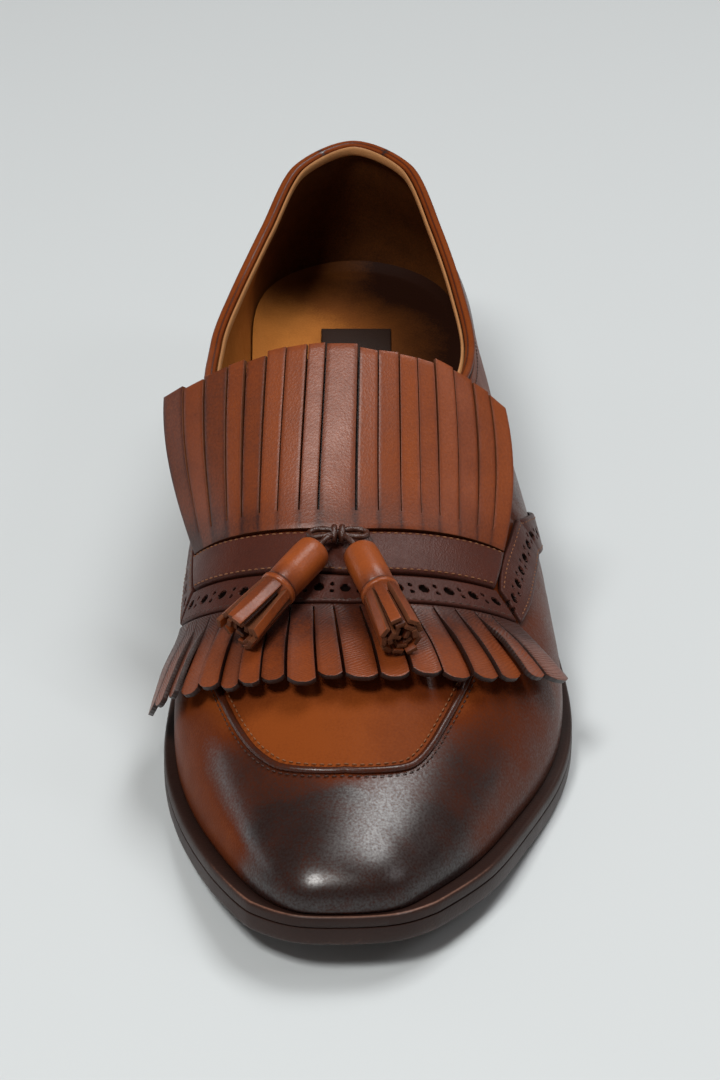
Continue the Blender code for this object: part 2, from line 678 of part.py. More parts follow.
# Tassels: head, wrap and a skirt of strips, hanging forward from a bow on the strap

TasselRing = namedtuple("TasselRing", "along radius slit")
TASSEL = [
    TasselRing(0.0000, 0.0000, 0),
    TasselRing(0.0002, 0.0030, 0),
    TasselRing(0.0014, 0.0044, 0),
    TasselRing(0.0150, 0.0046, 0),
    TasselRing(0.0155, 0.0050, 0),
    TasselRing(0.0167, 0.0050, 0),
    TasselRing(0.0172, 0.0044, 0),
    TasselRing(0.0190, 0.0048, 0.5),
    TasselRing(0.0340, 0.0061, 0.5),
    TasselRing(0.0325, 0.0000, 0),
]
TASSEL_STRIPS = 9
SLIT_HALF_ANGLE = 0.07

# Start and end of each tassel's axis: across from the middle, share of the length and height
TasselAxis = namedtuple("TasselAxis", "name x along z tip_x tip_along tip_z")
TASSELS = [
    TasselAxis("tassel_medial", -0.0088, 0.6697, 0.0581, -0.0302, 0.7620, 0.0486),
    TasselAxis("tassel_lateral", 0.0012, 0.6744, 0.0582, 0.0147, 0.8020, 0.0509),
]
KNOT = (-0.0040, 0.6470, 0.0590)  # across, share of the length, height
KNOT_BEAD = (0.0030, 0.0028, 0.0024)
KNOT_LOOP = (0.0036, 0.0026)  # half length and half width of a loop of the bow
KNOT_CORD = 0.0010


def model_point(x, along, z):
    """Point from its place across, its share of the length and its height."""
    return np.array([x, (0.5 - along) * LENGTH, z])


def make_tassel(row):
    """One tassel: rings round its axis, notched between the strips of the skirt."""
    start = model_point(row.x, row.along, row.z)
    axis = model_point(row.tip_x, row.tip_along, row.tip_z) - start
    axis /= np.linalg.norm(axis)
    side = np.cross(axis, [0, 0, 1])
    side /= np.linalg.norm(side)
    over = np.cross(side, axis)
    centres = 2 * np.pi * np.arange(TASSEL_STRIPS) / TASSEL_STRIPS
    angles = (centres[:, None] + [-SLIT_HALF_ANGLE, 0, SLIT_HALF_ANGLE]).reshape(-1)
    notch = np.tile([0, 1, 0], TASSEL_STRIPS)
    rings = []
    for ring in TASSEL:
        radius = ring.radius * (1 - ring.slit * notch)
        spokes = np.outer(np.cos(angles), side) + np.outer(np.sin(angles), over)
        rings.append(start + axis * ring.along + spokes * radius[:, None])
    stacked(row.name, rings, FRINGE)


def make_knot():
    """The bow: a bead with a loop of cord on each side, joined into one body."""
    centre = model_point(*KNOT)
    bead = bmesh.new()
    bmesh.ops.create_uvsphere(bead, u_segments=12, v_segments=8, radius=1)
    points = np.array([vert.co for vert in bead.verts]) * KNOT_BEAD + centre
    faces = [[vert.index for vert in face.verts] for face in bead.faces]
    bead.free()
    knot = add_object("tassel_knot", points, faces, FRINGE)
    turn = 2 * np.pi * np.arange(14) / 14
    cord = 2 * np.pi * np.arange(6) / 6
    section = KNOT_CORD * np.stack([np.cos(cord), np.sin(cord)], axis=1)
    for name, way in (("knot_loop_medial", -1), ("knot_loop_lateral", 1)):
        path = np.stack([KNOT_LOOP[0] * np.cos(turn), KNOT_LOOP[1] * np.sin(turn), 0 * turn], axis=1)
        path = path + centre + [way * (KNOT_LOOP[0] + KNOT_BEAD[0] * 0.5), 0, 0]
        normals = np.tile([0, 0, 1.0], (len(path), 1))
        loop = stacked(name, swept_rings(path, normals, section, True), FRINGE, closed=True)
        loop.hide_render = True
        loop.display_type = "WIRE"
        join = knot.modifiers.new(name, "BOOLEAN")
        join.operation = "UNION"
        join.object = loop


# Trim of the collar and the insole

BINDING_POINTS = 60
BINDING_SECTION = [
    (0.0006, 0.0),
    (0.0007, 0.0010),
    (0.0001, 0.0018),
    (-0.0019, 0.0018),
    (-0.0026, 0.0010),
    (-0.0025, 0.0),
]  # outwards, up
TAB_WIDTHS = (0.0085, 0.0115)  # half widths at the foot and at the collar
TAB_HEIGHTS = (0.60, 0.955)  # shares of the back column
LABEL = (0.0008, 0.180, 0.0205, 0.018)  # across, share of the length, width, depth
LABEL_THICKNESS = 0.0006


def make_collar_binding():
    """Bound edge that rides on the topline, from the throat round the heel and back."""
    fine = np.linspace(THROAT_U, PERIOD - THROAT_U, 1200)
    run = np.linalg.norm(np.diff(skin(fine, 1.0), axis=0), axis=1)
    walked = np.concatenate([[0], np.cumsum(run)])
    u = np.interp(np.linspace(0, walked[-1], BINDING_POINTS, endpoint=False), walked, fine)
    path, normals = lifted(u, np.ones_like(u), np.zeros_like(u))
    around = np.vstack([path[-1:], path, path[:1]])
    up = np.cross(normals, around[2:] - around[:-2])
    up /= np.linalg.norm(up, axis=1, keepdims=True)
    section = np.array(BINDING_SECTION)
    rings = swept_rings(path + up * SKIN_GAP, up, section, True)
    stacked("collar_binding", rings, COGNAC, closed=True)


def make_heel_tab():
    """Small overlay at the back of the collar."""
    height = np.linspace(*TAB_HEIGHTS, 5)[None, :]
    half = np.interp(height, TAB_HEIGHTS, TAB_WIDTHS)
    per_metre = STATION_U[-1] - STATION_U[-40]
    per_metre /= np.linalg.norm(skin(STATION_U[-1], 0.8) - skin(STATION_U[-40], 0.8))
    u = HALF + np.linspace(-1, 1, 7)[:, None] * half * per_metre
    sheet = lifted(u, np.broadcast_to(height, u.shape), np.full(u.shape, SKIN_GAP))[0]
    overlay("heel_tab", sheet, BAND_THICKNESS, SADDLE)


def make_sock_label():
    """Bare patch on the heel seat of the insole."""
    x, along, width, depth = LABEL
    across = np.linspace(-width / 2, width / 2, 2)[:, None] + x
    y = np.linspace(-depth / 2, depth / 2, 6)[None, :] + (0.5 - along) * LENGTH
    across, y = np.broadcast_arrays(across, y)
    height = tread_height(y) + FEATHER + INSOLE_THICKNESS + GAP
    overlay("sock_label", np.stack([across, y, height], axis=-1), LABEL_THICKNESS, PATCH)


def centre_on_origin():
    """Moves every piece so that the shoe's box is centred over the origin; its tread stays on the floor."""
    scene = bpy.context.evaluated_depsgraph_get()
    pieces = [obj.evaluated_get(scene) for obj in bpy.data.objects if not obj.hide_render]
    corners = np.array([corner for piece in pieces for corner in piece.bound_box])
    middle = (corners.min(axis=0) + corners.max(axis=0)) / 2
    for obj in bpy.data.objects:
        obj.data.transform(Matrix.Translation((-middle[0], -middle[1], 0)))


def main():
    for obj in list(bpy.data.objects):
        bpy.data.objects.remove(obj)
    make_outsole()
    make_welt()
    make_insole()
    make_heel()
    make_upper()
    make_saddle()
    make_wings()
    make_apron_seam()
    make_kiltie()
    for row in TASSELS:
        make_tassel(row)
    make_knot()
    make_collar_binding()
    make_heel_tab()
    make_sock_label()
    centre_on_origin()


main()
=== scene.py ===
# %% [markdown]
# # A kiltie tassel loafer
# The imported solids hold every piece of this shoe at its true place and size. This lesson dresses them for a
# portrait. Each leather piece is worked out again as a fine surface on the same last, and then gets a
# finish that follows the real leather: cognac burnished almost to black at the toe, a dark saddle with
# punched edges, fringes with raw tan sides, and a waxed sole.

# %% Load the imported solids
import math
from collections import namedtuple

import bmesh
import bpy
import numpy as np
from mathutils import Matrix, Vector


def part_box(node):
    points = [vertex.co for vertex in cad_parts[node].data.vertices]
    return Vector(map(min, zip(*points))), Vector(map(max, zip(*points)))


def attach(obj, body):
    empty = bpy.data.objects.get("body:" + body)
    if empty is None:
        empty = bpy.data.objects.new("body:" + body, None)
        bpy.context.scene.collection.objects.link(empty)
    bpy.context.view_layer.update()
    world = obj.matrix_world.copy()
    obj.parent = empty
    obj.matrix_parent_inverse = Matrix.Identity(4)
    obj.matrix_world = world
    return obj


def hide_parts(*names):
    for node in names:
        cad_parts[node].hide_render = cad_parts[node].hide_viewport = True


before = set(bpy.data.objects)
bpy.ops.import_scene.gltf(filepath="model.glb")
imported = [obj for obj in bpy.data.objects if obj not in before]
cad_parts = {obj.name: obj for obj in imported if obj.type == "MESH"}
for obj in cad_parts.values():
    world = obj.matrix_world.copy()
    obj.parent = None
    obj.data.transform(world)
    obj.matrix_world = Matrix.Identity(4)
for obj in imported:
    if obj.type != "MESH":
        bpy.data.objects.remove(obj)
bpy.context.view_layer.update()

print("solids loaded:", len(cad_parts))

# %% [markdown]
# ## Camera and studio
# The photograph looks down on the toe, straight along the shoe, from about 80 cm away. A camera is placed
# by its distance, its height angle and its lens; a small shift of the sensor centres the shoe without
# tilting the view. A broad softbox over the heel gives the polished toe its soft bright patch, a smaller
# one in front lights the face of the toe, and two weak strips draw the edges.

# %% Camera
TARGET = Vector((-0.0025, -0.0012, 0.045))
ELEVATION = math.radians(31)
DISTANCE = 0.80


def aimed(name, data, place):
    """A camera or lamp at a place, turned so that its own -Z looks at the shoe."""
    obj = bpy.data.objects.new(name, data)
    obj.location = place
    obj.rotation_euler = (TARGET - Vector(place)).to_track_quat("-Z", "Y").to_euler()
    bpy.context.scene.collection.objects.link(obj)
    return obj


camera_data = bpy.data.cameras.new("portrait")
camera_data.sensor_width = 36
camera_data.lens = 101
camera_data.shift_x = 0.006
camera_data.shift_y = -0.048
camera_data.clip_start = 0.01
towards = Vector((0, -math.cos(ELEVATION), math.sin(ELEVATION)))
camera = aimed("portrait", camera_data, TARGET + towards * DISTANCE)
bpy.context.scene.camera = camera
bpy.context.scene.view_settings.view_transform = "Standard"
print("camera at", [round(x, 3) for x in camera.location])

# %% Studio lamps
Lamp = namedtuple("Lamp", "name place size watts colour")
LAMPS = [
    Lamp("softbox_over", (0.44, 0.40, 1.48), (0.64, 0.64), 13.5, (1.0, 0.99, 0.98)),
    Lamp("softbox_front", (-0.43, -0.75, 1.44), (0.42, 0.38), 18.0, (1.0, 0.98, 0.95)),
    Lamp("strip_left", (-0.83, 0.25, 0.19), (0.30, 0.14), 0.35, (0.93, 0.97, 1.0)),
    Lamp("strip_right", (0.94, -0.25, 0.93), (0.30, 0.40), 1.2, (0.98, 0.98, 1.0)),
]
for lamp in LAMPS:
    light = bpy.data.lights.new(lamp.name, "AREA")
    light.shape = "RECTANGLE"
    light.size, light.size_y = lamp.size
    light.energy = lamp.watts
    light.color = lamp.colour
    aimed(lamp.name, light, lamp.place)
print("lamps:", len(LAMPS))

# %% [markdown]
# The studio's walls are a gradient in the world: bright at the height of the shoe, dim and warm overhead, so
# that the burnished toe mirrors a dark ceiling with the lamps in it. The floor is one pale matt square.

# %% Studio walls and floor
WALL_GLOW = (0.46, 0.48, 0.48, 1)
CEILING_GLOW = (0.140, 0.120, 0.110, 1)
CEILING_FROM = 0.45
FLOOR_HALF = 1.3
FLOOR_TONE = (0.575, 0.615, 0.632, 1)
FLOOR_ROUGHNESS = 0.6
world = bpy.data.worlds.new("studio")
world.use_nodes = True
sky = world.node_tree.nodes
rays = sky.new("ShaderNodeTexCoord")
split = sky.new("ShaderNodeSeparateXYZ")
ramp = sky.new("ShaderNodeValToRGB")
ramp.color_ramp.interpolation = "EASE"
ramp.color_ramp.elements[0].color = WALL_GLOW
ramp.color_ramp.elements[1].color = CEILING_GLOW
ramp.color_ramp.elements[1].position = CEILING_FROM
for start, end in (
    (rays.outputs["Generated"], split.inputs[0]),
    (split.outputs["Z"], ramp.inputs[0]),
    (ramp.outputs["Color"], sky["Background"].inputs["Color"]),
):
    world.node_tree.links.new(start, end)
bpy.context.scene.world = world
floor_mesh = bpy.data.meshes.new("floor")
floor_mesh.from_pydata(
    [(x * FLOOR_HALF, y * FLOOR_HALF, 0) for x, y in ((-1, -1), (1, -1), (1, 1), (-1, 1))], [], [(0, 1, 2, 3)]
)
floor = bpy.data.objects.new("floor", floor_mesh)
bpy.context.scene.collection.objects.link(floor)
floor_paint = bpy.data.materials.new("floor_paint")
floor_paint.use_nodes = True
floor_shader = floor_paint.node_tree.nodes["Principled BSDF"]
floor_shader.inputs["Base Color"].default_value = FLOOR_TONE
floor_shader.inputs["Roughness"].default_value = FLOOR_ROUGHNESS
floor_mesh.materials.append(floor_paint)
print("floor:", 2 * FLOOR_HALF, "m square")

# %% [markdown]
# ## The last
# A shoe is built on a last, a block with the shape of the foot. Here it is a table of stations round the
# sole. Every station has a column, a cubic curve that climbs from the feather line, where the upper meets
# the sole, to the crown of the vamp or to the edge of the collar. The solids were made from the same table,
# so a piece that is worked out on it lands where its solid is.

# %% Stations of the last
LENGTH = 0.296  # scale of the stations along the shoe
BALL_WIDTH = 0.0975  # across the ball, along the feather line
COLLAR_HEIGHT = 0.082  # floor to the top of the back seam

# foot and top are shares of the length from the heel end, lateral, medial, out and reach are shares of the
# ball width, and top_z, rise and drop are shares of the collar height. rise and out set how the column
# leaves the feather line, reach and drop how it arrives at its top, fall is the crown's slope.
Station = namedtuple(
    "Station",
    "name foot lateral medial top top_lateral top_medial top_z rise out reach drop fall",
)
STATIONS = [
    Station("toe_tip", 0.984, -0.054, -0.054, 0.910, -0.026, -0.026, 0.388, 0.105, 0.006, 0.140, 0.0, -0.26),
    Station("toe_flat", 0.978, 0.088, -0.148, 0.907, -0.026, -0.026, 0.391, 0.105, 0.006, 0.140, 0.0, -0.26),
    Station("toe_turn", 0.954, 0.176, -0.222, 0.902, -0.025, -0.025, 0.395, 0.110, 0.006, 0.146, 0.0, -0.26),
    Station("toe_side", 0.905, 0.290, -0.301, 0.889, -0.022, -0.022, 0.406, 0.128, 0.008, 0.190, 0.0, -0.25),
    Station("forepart", 0.834, 0.400, -0.388, 0.834, -0.016, -0.016, 0.454, 0.183, 0.012, 0.255, 0.0, -0.25),
    Station("ball_in", 0.736, 0.519, -0.456, 0.743, -0.012, -0.012, 0.537, 0.256, 0.017, 0.318, 0.0, -0.29),
    Station("ball_out", 0.649, 0.547, -0.458, 0.662, -0.015, -0.015, 0.632, 0.305, 0.026, 0.318, 0.0, -0.38),
    Station("strap", 0.595, 0.537, -0.448, 0.600, -0.023, -0.023, 0.731, 0.336, 0.033, 0.299, 0.0, -0.54),
    Station("throat", 0.556, 0.524, -0.437, 0.534, -0.023, -0.023, 0.866, 0.362, 0.040, 0.277, 0.0, -0.62),
    Station("turn", 0.527, 0.511, -0.422, 0.516, 0.072, -0.123, 0.880, 0.354, 0.041, 0.236, 0.030, -0.45),
    Station("corner", 0.480, 0.484, -0.392, 0.491, 0.195, -0.251, 0.866, 0.317, 0.041, 0.164, 0.085, -0.10),
    Station("collar", 0.415, 0.443, -0.347, 0.442, 0.313, -0.402, 0.825, 0.244, 0.041, 0.082, 0.150, 0.00),
    Station("quarter", 0.338, 0.398, -0.313, 0.358, 0.338, -0.394, 0.787, 0.183, 0.041, 0.041, 0.171, 0.00),
    Station("heel_fore", 0.243, 0.357, -0.306, 0.267, 0.313, -0.349, 0.811, 0.183, 0.036, 0.041, 0.183, 0.00),
    Station("heel_side", 0.142, 0.341, -0.316, 0.176, 0.256, -0.269, 0.890, 0.220, 0.036, 0.041, 0.220, 0.00),
    Station("heel_turn", 0.051, 0.251, -0.241, 0.084, 0.172, -0.174, 0.973, 0.232, 0.036, 0.046, 0.244, 0.00),
    Station("heel_back", 0.008, 0.005, 0.005, 0.044, 0.000, 0.000, 1.000, 0.244, 0.036, 0.046, 0.244, 0.00),
]
print("stations:", len(STATIONS))

# %% Curves and steps
HEEL_HEIGHT = 0.0247  # floor to the tread above the heel
TOE_SPRING = 0.010  # lift of the toe's tread off the floor
SPRING_POWER = 1.35
HEEL_SEAT, TREAD_BACK, TREAD_FRONT = 0.15, 0.615, 0.77  # shares of the length where the tread bends


def smooth(x):
    """0 below 0, 1 above 1, and the cubic 3x^2 - 2x^3 between."""
    x = np.clip(x, 0, 1)
    return x * x * (3 - 2 * x)


def rising(x, start, width):
    """Smooth step from 0 at start up to 1, over a width."""
    return smooth((x - start) / width)


def falling(x, end, width):
    """Smooth step from 1 down to 0 at end, over a width."""
    return smooth((end - x) / width)


def bell(x, centre, width):
    """1 at the centre, falling off on both sides as exp(-d^2), with d the distance in widths."""
    return np.exp(-(((x - centre) / width) ** 2))


def unit(vectors):
    """Vectors divided by their lengths."""
    return vectors / np.linalg.norm(vectors, axis=-1, keepdims=True)


def hermite(t, start, end, leave, arrive):
    """Cubic from start to end that leaves and arrives with the given slopes."""
    first = (1 + 2 * t) * (1 - t) ** 2 * start + t * (1 - t) ** 2 * leave
    return first + (t * t * (3 - 2 * t) * end + t * t * (t - 1) * arrive)


def bezier(t, start, low, high, end):
    """Cubic from start to end that is drawn towards two guide points on its way."""
    s = 1 - t
    return start * s**3 + 3 * low * s * s * t + 3 * high * s * t * t + end * t**3


def along_of(y):
    """Share of the length from the heel end."""
    return 0.5 - y / LENGTH


def tread_height(y):
    """Height of the tread: level under the ball, a power curve at the toe, a smooth step up to the heel."""
    along = along_of(y)
    spring = np.clip((along - TREAD_FRONT) / (1 - TREAD_FRONT), 0, 1) ** SPRING_POWER
    return TOE_SPRING * spring + HEEL_HEIGHT * falling(along, TREAD_BACK, TREAD_BACK - HEEL_SEAT)


print("tread at the toe tip:", round(float(tread_height(-LENGTH / 2)) * 1000, 1), "mm")

# %% The loop of columns
THROAT = [row.name for row in STATIONS].index("throat")
THROAT_SWEEP = 1.5  # how briskly the topline leaves the crown


def station_column(row, width, top_width):
    """One side of a station in metres: plan point of the foot, top point, and the shape of the column."""
    foot = [width * BALL_WIDTH, (0.5 - row.foot) * LENGTH]
    top = [top_width * BALL_WIDTH, (0.5 - row.top) * LENGTH, row.top_z * COLLAR_HEIGHT]
    shape = [row.rise * COLLAR_HEIGHT, row.out * BALL_WIDTH, row.reach * BALL_WIDTH, row.drop * COLLAR_HEIGHT]
    return foot + top + shape + [row.fall]


def plan_steps(side):
    """Knot steps along one side: the root of the plan distance."""
    return np.sqrt(np.linalg.norm(np.diff(side[:, :2], axis=0), axis=1))


LATERAL = np.array([station_column(row, row.lateral, row.top_lateral) for row in STATIONS])
MEDIAL = np.array([station_column(row, row.medial, row.top_medial) for row in STATIONS])
LOOP = np.vstack([LATERAL, MEDIAL[-2:0:-1]])
HALF_STEPS = (plan_steps(LATERAL) + plan_steps(MEDIAL)) / 2
STEPS = np.concatenate([HALF_STEPS, HALF_STEPS[::-1]])
KNOTS = np.concatenate([[0], np.cumsum(STEPS)[:-1]])
PERIOD = STEPS.sum()
HALF = PERIOD / 2


def even_slopes(rise):
    """Slopes of the closed cubic curve whose bending runs evenly through every row: one linear system."""
    before = 1 / np.roll(STEPS, 1)
    after = 1 / STEPS
    system = np.diag(2 * (before + after))
    system += np.roll(np.diag(before), -1, axis=1) + np.roll(np.diag(after), 1, axis=1)
    return np.linalg.solve(system, 3 * (before[:, None] * np.roll(rise, 1, axis=0) + after[:, None] * rise))


def steady_slopes(rise):
    """Slopes of a cubic curve that never overshoots a row: harmonic means, and level where it turns."""
    before = np.roll(rise, 1, axis=0)
    one_way = before * rise > 0
    before_share = (2 * STEPS + np.roll(STEPS, 1))[:, None]
    after_share = (STEPS + 2 * np.roll(STEPS, 1))[:, None]
    mean = before_share / np.where(one_way, before, 1) + after_share / np.where(one_way, rise, 1)
    return np.where(one_way, (before_share + after_share) / np.where(one_way, mean, 1), 0)


RISES = (np.roll(LOOP, -1, axis=0) - LOOP) / STEPS[:, None]
START_SLOPES = np.hstack([even_slopes(RISES[:, :2]), steady_slopes(RISES[:, 2:])])
END_SLOPES = START_SLOPES.copy()
MEDIAL_THROAT = len(LOOP) - THROAT
START_SLOPES[THROAT, 2:4] = RISES[THROAT, 2] * THROAT_SWEEP, 0
END_SLOPES[MEDIAL_THROAT, 2:4] = RISES[MEDIAL_THROAT - 1, 2] * THROAT_SWEEP, 0
print("columns round the last:", len(LOOP))

# %% [markdown]
# The skin of the last is then a function of two parameters: u runs round the loop from the toe over the
# lateral side, the heel and the medial side, and v climbs a column. A piece of leather that lies on the
# shoe only has to say where it is on the skin and how far it stands off it.

# %% Skin of the last
SOLE_THICKNESS = 0.005
WELT_THICKNESS = 0.003
GAP = 0.0003  # air between touching pieces
FEATHER = SOLE_THICKNESS + GAP + WELT_THICKNESS + GAP  # height of the feather line over the tread
CROWN_PULL = 0.008  # turns a column towards the outline's normal as it reaches its top


def loop_at(u):
    """Station columns at loop parameter u: cubic Hermite curves between the stations."""
    u = np.mod(np.asarray(u, float), PERIOD)
    i = np.searchsorted(KNOTS, u, side="right") - 1
    j = (i + 1) % len(KNOTS)
    step = STEPS[i][..., None]
    t = (u - KNOTS[i])[..., None] / step
    return hermite(t, LOOP[i], LOOP[j], step * START_SLOPES[i], step * END_SLOPES[j])


def outline_at(u):
    """Station column, feather line and its level outward normal at loop parameter u."""
    small = PERIOD * 1e-5
    row = loop_at(u)
    run = loop_at(u + small)[..., :2] - loop_at(u - small)[..., :2]
    normal = unit(np.stack([run[..., 1], -run[..., 0], 0 * run[..., 0]], axis=-1))
    foot = np.concatenate([row[..., :2], (tread_height(row[..., 1]) + FEATHER)[..., None]], axis=-1)
    return row, foot, normal


def skin(u, v):
    """The last's surface: cubic curves from the feather line (v = 0) to the crown or collar (v = 1)."""
    u, v = np.broadcast_arrays(np.asarray(u, float), np.asarray(v, float))
    row, foot, normal = outline_at(u)
    top = row[..., 2:5]
    rise, out, reach, drop, fall = np.moveaxis(row[..., 5:], -1, 0)[..., None]
    up = np.array([0, 0, 1.0])
    inward = (foot - top) * [1, 1, 0]
    flare = np.maximum(-(inward * normal).sum(axis=-1, keepdims=True), 0) / 3
    heading_in = unit(inward + normal * CROWN_PULL)
    low = foot + normal * (out + flare) + up * rise
    high = top + heading_in * (reach - flare) - up * (drop + fall * heading_in[..., 1:2] * reach)
    return bezier(v[..., None], foot, low, high, top)


def lifted(u, v, lift):
    """Points a given height over the skin along its normal (around x up), and that normal."""
    small = PERIOD * 1e-4
    point = skin(u, v)
    around = skin(u + small, v) - skin(u - small, v)
    normal = unit(np.cross(around, point - skin(u, v - 1e-3)))
    return point + normal * np.asarray(lift)[..., None], normal


STATION_U = HALF * np.linspace(0, 1, 1200)
STATION_FOOT = along_of(loop_at(STATION_U)[:, 1])


def on_upper(foot, girth, lift):
    """Point and normal for a foot station and a girth: 0 on the crown, +1 lateral and -1 medial feather."""
    foot, girth, lift = np.broadcast_arrays(foot, girth, lift)
    u = np.interp(-foot, -STATION_FOOT, STATION_U)
    return lifted(np.where(girth < 0, PERIOD - u, u), 1 - np.abs(girth), lift)


print("top of the back seam:", round(float(skin(HALF, 1.0)[2]) * 1000, 1), "mm")

# %% Rings round the sole
Edge = namedtuple("Edge", "foot stand_out")
SOLE_EDGES = [Edge(*row) for row in (
    (0.00, 0.0015), (0.35, 0.0015), (0.50, 0.0018), (0.65, 0.0026),
    (0.80, 0.0034), (0.90, 0.0042), (0.955, 0.0038), (0.985, 0.0014),
)]
SOLE_COLUMNS = 240  # on each side


def sole_ring(u, offset, height, follow_edge=True):
    """A ring round the foot, offset from the sole's edge or from the feather line, over the tread."""
    foot, normal = outline_at(u)[1:]
    share, stand_out = np.array(SOLE_EDGES).T
    reach = np.interp(along_of(foot[:, 1]), share, stand_out) * follow_edge + offset
    ring = foot + normal * reach[:, None]
    ring[:, 2] = tread_height(ring[:, 1]) + height
    return ring


SIDE_U = HALF * np.linspace(0, 1, SOLE_COLUMNS + 1)
SOLE_U = np.concatenate([SIDE_U, PERIOD - SIDE_U[-2:0:-1]])
edge_ring = sole_ring(SOLE_U, 0.0, 0.0)
box_low, box_high = (np.array(corner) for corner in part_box("outsole"))
SHIFT = (box_low + box_high - edge_ring.min(axis=0) - edge_ring.max(axis=0)) / 2 * [1, 1, 0]
print("last sits in the frame with a shift of", (SHIFT * 1000).round(2), "mm")

# %% [markdown]
# ## From arrays to pieces
# Every piece below is an array of points on a grid. One helper turns such a grid into a mesh, hangs it on the
# shoe's only body, names the solid that it stands for, and gives it its finishes. Values that a finish needs
# at each point, such as how deeply the leather is burnished there, go along as attributes of the mesh.

# %% Faces of grids


def grid_quads(columns, rows, around=False, rolled=False):
    """Corner numbers of a grid's quads; around closes the columns, rolled closes the rows."""
    i = np.arange(columns if around else columns - 1)[:, None]
    k = np.arange(rows if rolled else rows - 1)[None, :]
    j = (i + 1) % columns
    m = (k + 1) % rows
    corners = [i * rows + k, j * rows + k, j * rows + m, i * rows + m]
    return np.stack(np.broadcast_arrays(*corners), axis=-1).reshape(-1, 4)


def slab_faces(columns, rows):
    """Faces of a two-sided piece: the grid, the same grid turned over below it, and the cut edge between.
    Also returns how many faces come before the cut edge."""
    top = grid_quads(columns, rows)
    count = columns * rows
    index = np.arange(count).reshape(columns, rows)
    ring = np.concatenate([index[0], index[1:, -1], index[-1, -2::-1], index[-2:0:-1, 0]])
    follow = np.roll(ring, -1)
    rim = np.stack([ring, follow, follow + count, ring + count], axis=1)
    return np.vstack([top, top[:, ::-1] + count, rim]), 2 * len(top)


# %% Meshes and their thickness


def add_piece(
    name, points, faces, finishes, stands_for=(), fields=None, weld=0.0, chosen=None, crisp=40
):
    """A mesh of the shoe. fields are values per point, weld joins points that coincide, chosen gives the
    number of each face's finish, and edges sharper than crisp degrees stay sharp."""
    mesh = bpy.data.meshes.new(name)
    mesh.from_pydata(np.asarray(points).reshape(-1, 3) + SHIFT, [], list(faces))
    for field, values in (fields or {}).items():
        layer = mesh.attributes.new(field, "FLOAT", "POINT")
        layer.data.foreach_set("value", np.asarray(values, np.float32).ravel())
    if weld:
        build = bmesh.new()
        build.from_mesh(mesh)
        bmesh.ops.remove_doubles(build, verts=build.verts, dist=weld)
        bmesh.ops.dissolve_degenerate(build, edges=build.edges, dist=weld)
        build.to_mesh(mesh)
        build.free()
    for finish in finishes:
        mesh.materials.append(finish)
    if chosen is not None:
        mesh.polygons.foreach_set("material_index", chosen.astype(np.int32))
    mesh.shade_smooth()
    mesh.set_sharp_from_angle(angle=math.radians(crisp))
    obj = bpy.data.objects.new(name, mesh)
    bpy.context.scene.collection.objects.link(obj)
    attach(obj, "root")
    if stands_for:
        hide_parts(*stands_for)
    print(f"{name}: {len(mesh.polygons)} faces")
    return obj


def thicken(piece, thickness, offset, rim, inside=0, softened=0.0):
    """Gives a sheet its thickness, outwards (offset 1) or inwards (-1). rim and inside are the numbers of the
    finishes on its cut edge and its back; softened is the width of the bevel along the cut."""
    wall = piece.modifiers.new("thickness", "SOLIDIFY")
    wall.thickness = thickness
    wall.offset = offset
    wall.material_offset = inside
    wall.material_offset_rim = rim
    if softened:
        soften = piece.modifiers.new("softened_edges", "BEVEL")
        soften.width = softened
        soften.segments = 2
        soften.limit_method = "ANGLE"


# %% [markdown]
# ## Finishes
# Leather is not one colour. The dye is lighter where the hide is stretched and darker where wax was burnished
# in, pores break the gloss, and a cut edge shows raw fibre. The pores and the mottle are one node group, the
# three tones of the dye another, and every material places both with its own values. Painting a picture of
# leather would be the other way; nodes stay sharp at any distance and follow the burnish, and the painted
# shade, of each point.

# %% Node helpers


class Graph:
    """Adds nodes to a tree. A socket gets a plain value, or a link if the value is another node's output."""

    def __init__(self, tree):
        self.tree = tree

    def put(self, socket, value):
        if isinstance(value, bpy.types.NodeSocket):
            self.tree.links.new(value, socket)
        else:
            socket.default_value = value

    def add(self, kind, sockets=None, **settings):
        node = self.tree.nodes.new(kind)
        for key, value in settings.items():
            setattr(node, key, value)
        for key, value in (sockets or {}).items():
            self.put(node.inputs[key], value)
        return node

    def math(self, operation, first, second=0.0, third=0.0, clamp=False):
        sockets = {0: first, 1: second, 2: third}
        return self.add("ShaderNodeMath", sockets, operation=operation, use_clamp=clamp).outputs[0]

    def mix(self, share, first, second):
        return self.add("ShaderNodeMix", {0: share, 6: first, 7: second}, data_type="RGBA").outputs[2]

    def noise(self, place, scale, detail, roughness=0.5):
        sockets = {"Vector": place, "Scale": scale, "Detail": detail, "Roughness": roughness}
        return self.add("ShaderNodeTexNoise", sockets).outputs["Fac"]

    def attribute(self, name):
        return self.add("ShaderNodeAttribute", attribute_name=name).outputs["Fac"]

    def group(self, tree, sockets):
        return self.add("ShaderNodeGroup", sockets, node_tree=tree).outputs


def new_group(name, inputs, outputs):
    """An empty node group with named sockets: inputs give kind and value, outputs give kind."""
    tree = bpy.data.node_groups.new(name, "ShaderNodeTree")
    for label, (kind, value) in inputs.items():
        socket = tree.interface.new_socket(label, in_out="INPUT", socket_type="NodeSocket" + kind)
        socket.default_value = value
    for label, kind in outputs.items():
        tree.interface.new_socket(label, in_out="OUTPUT", socket_type="NodeSocket" + kind)
    graph = Graph(tree)
    return tree, graph, graph.add("NodeGroupInput").outputs, graph.add("NodeGroupOutput").inputs


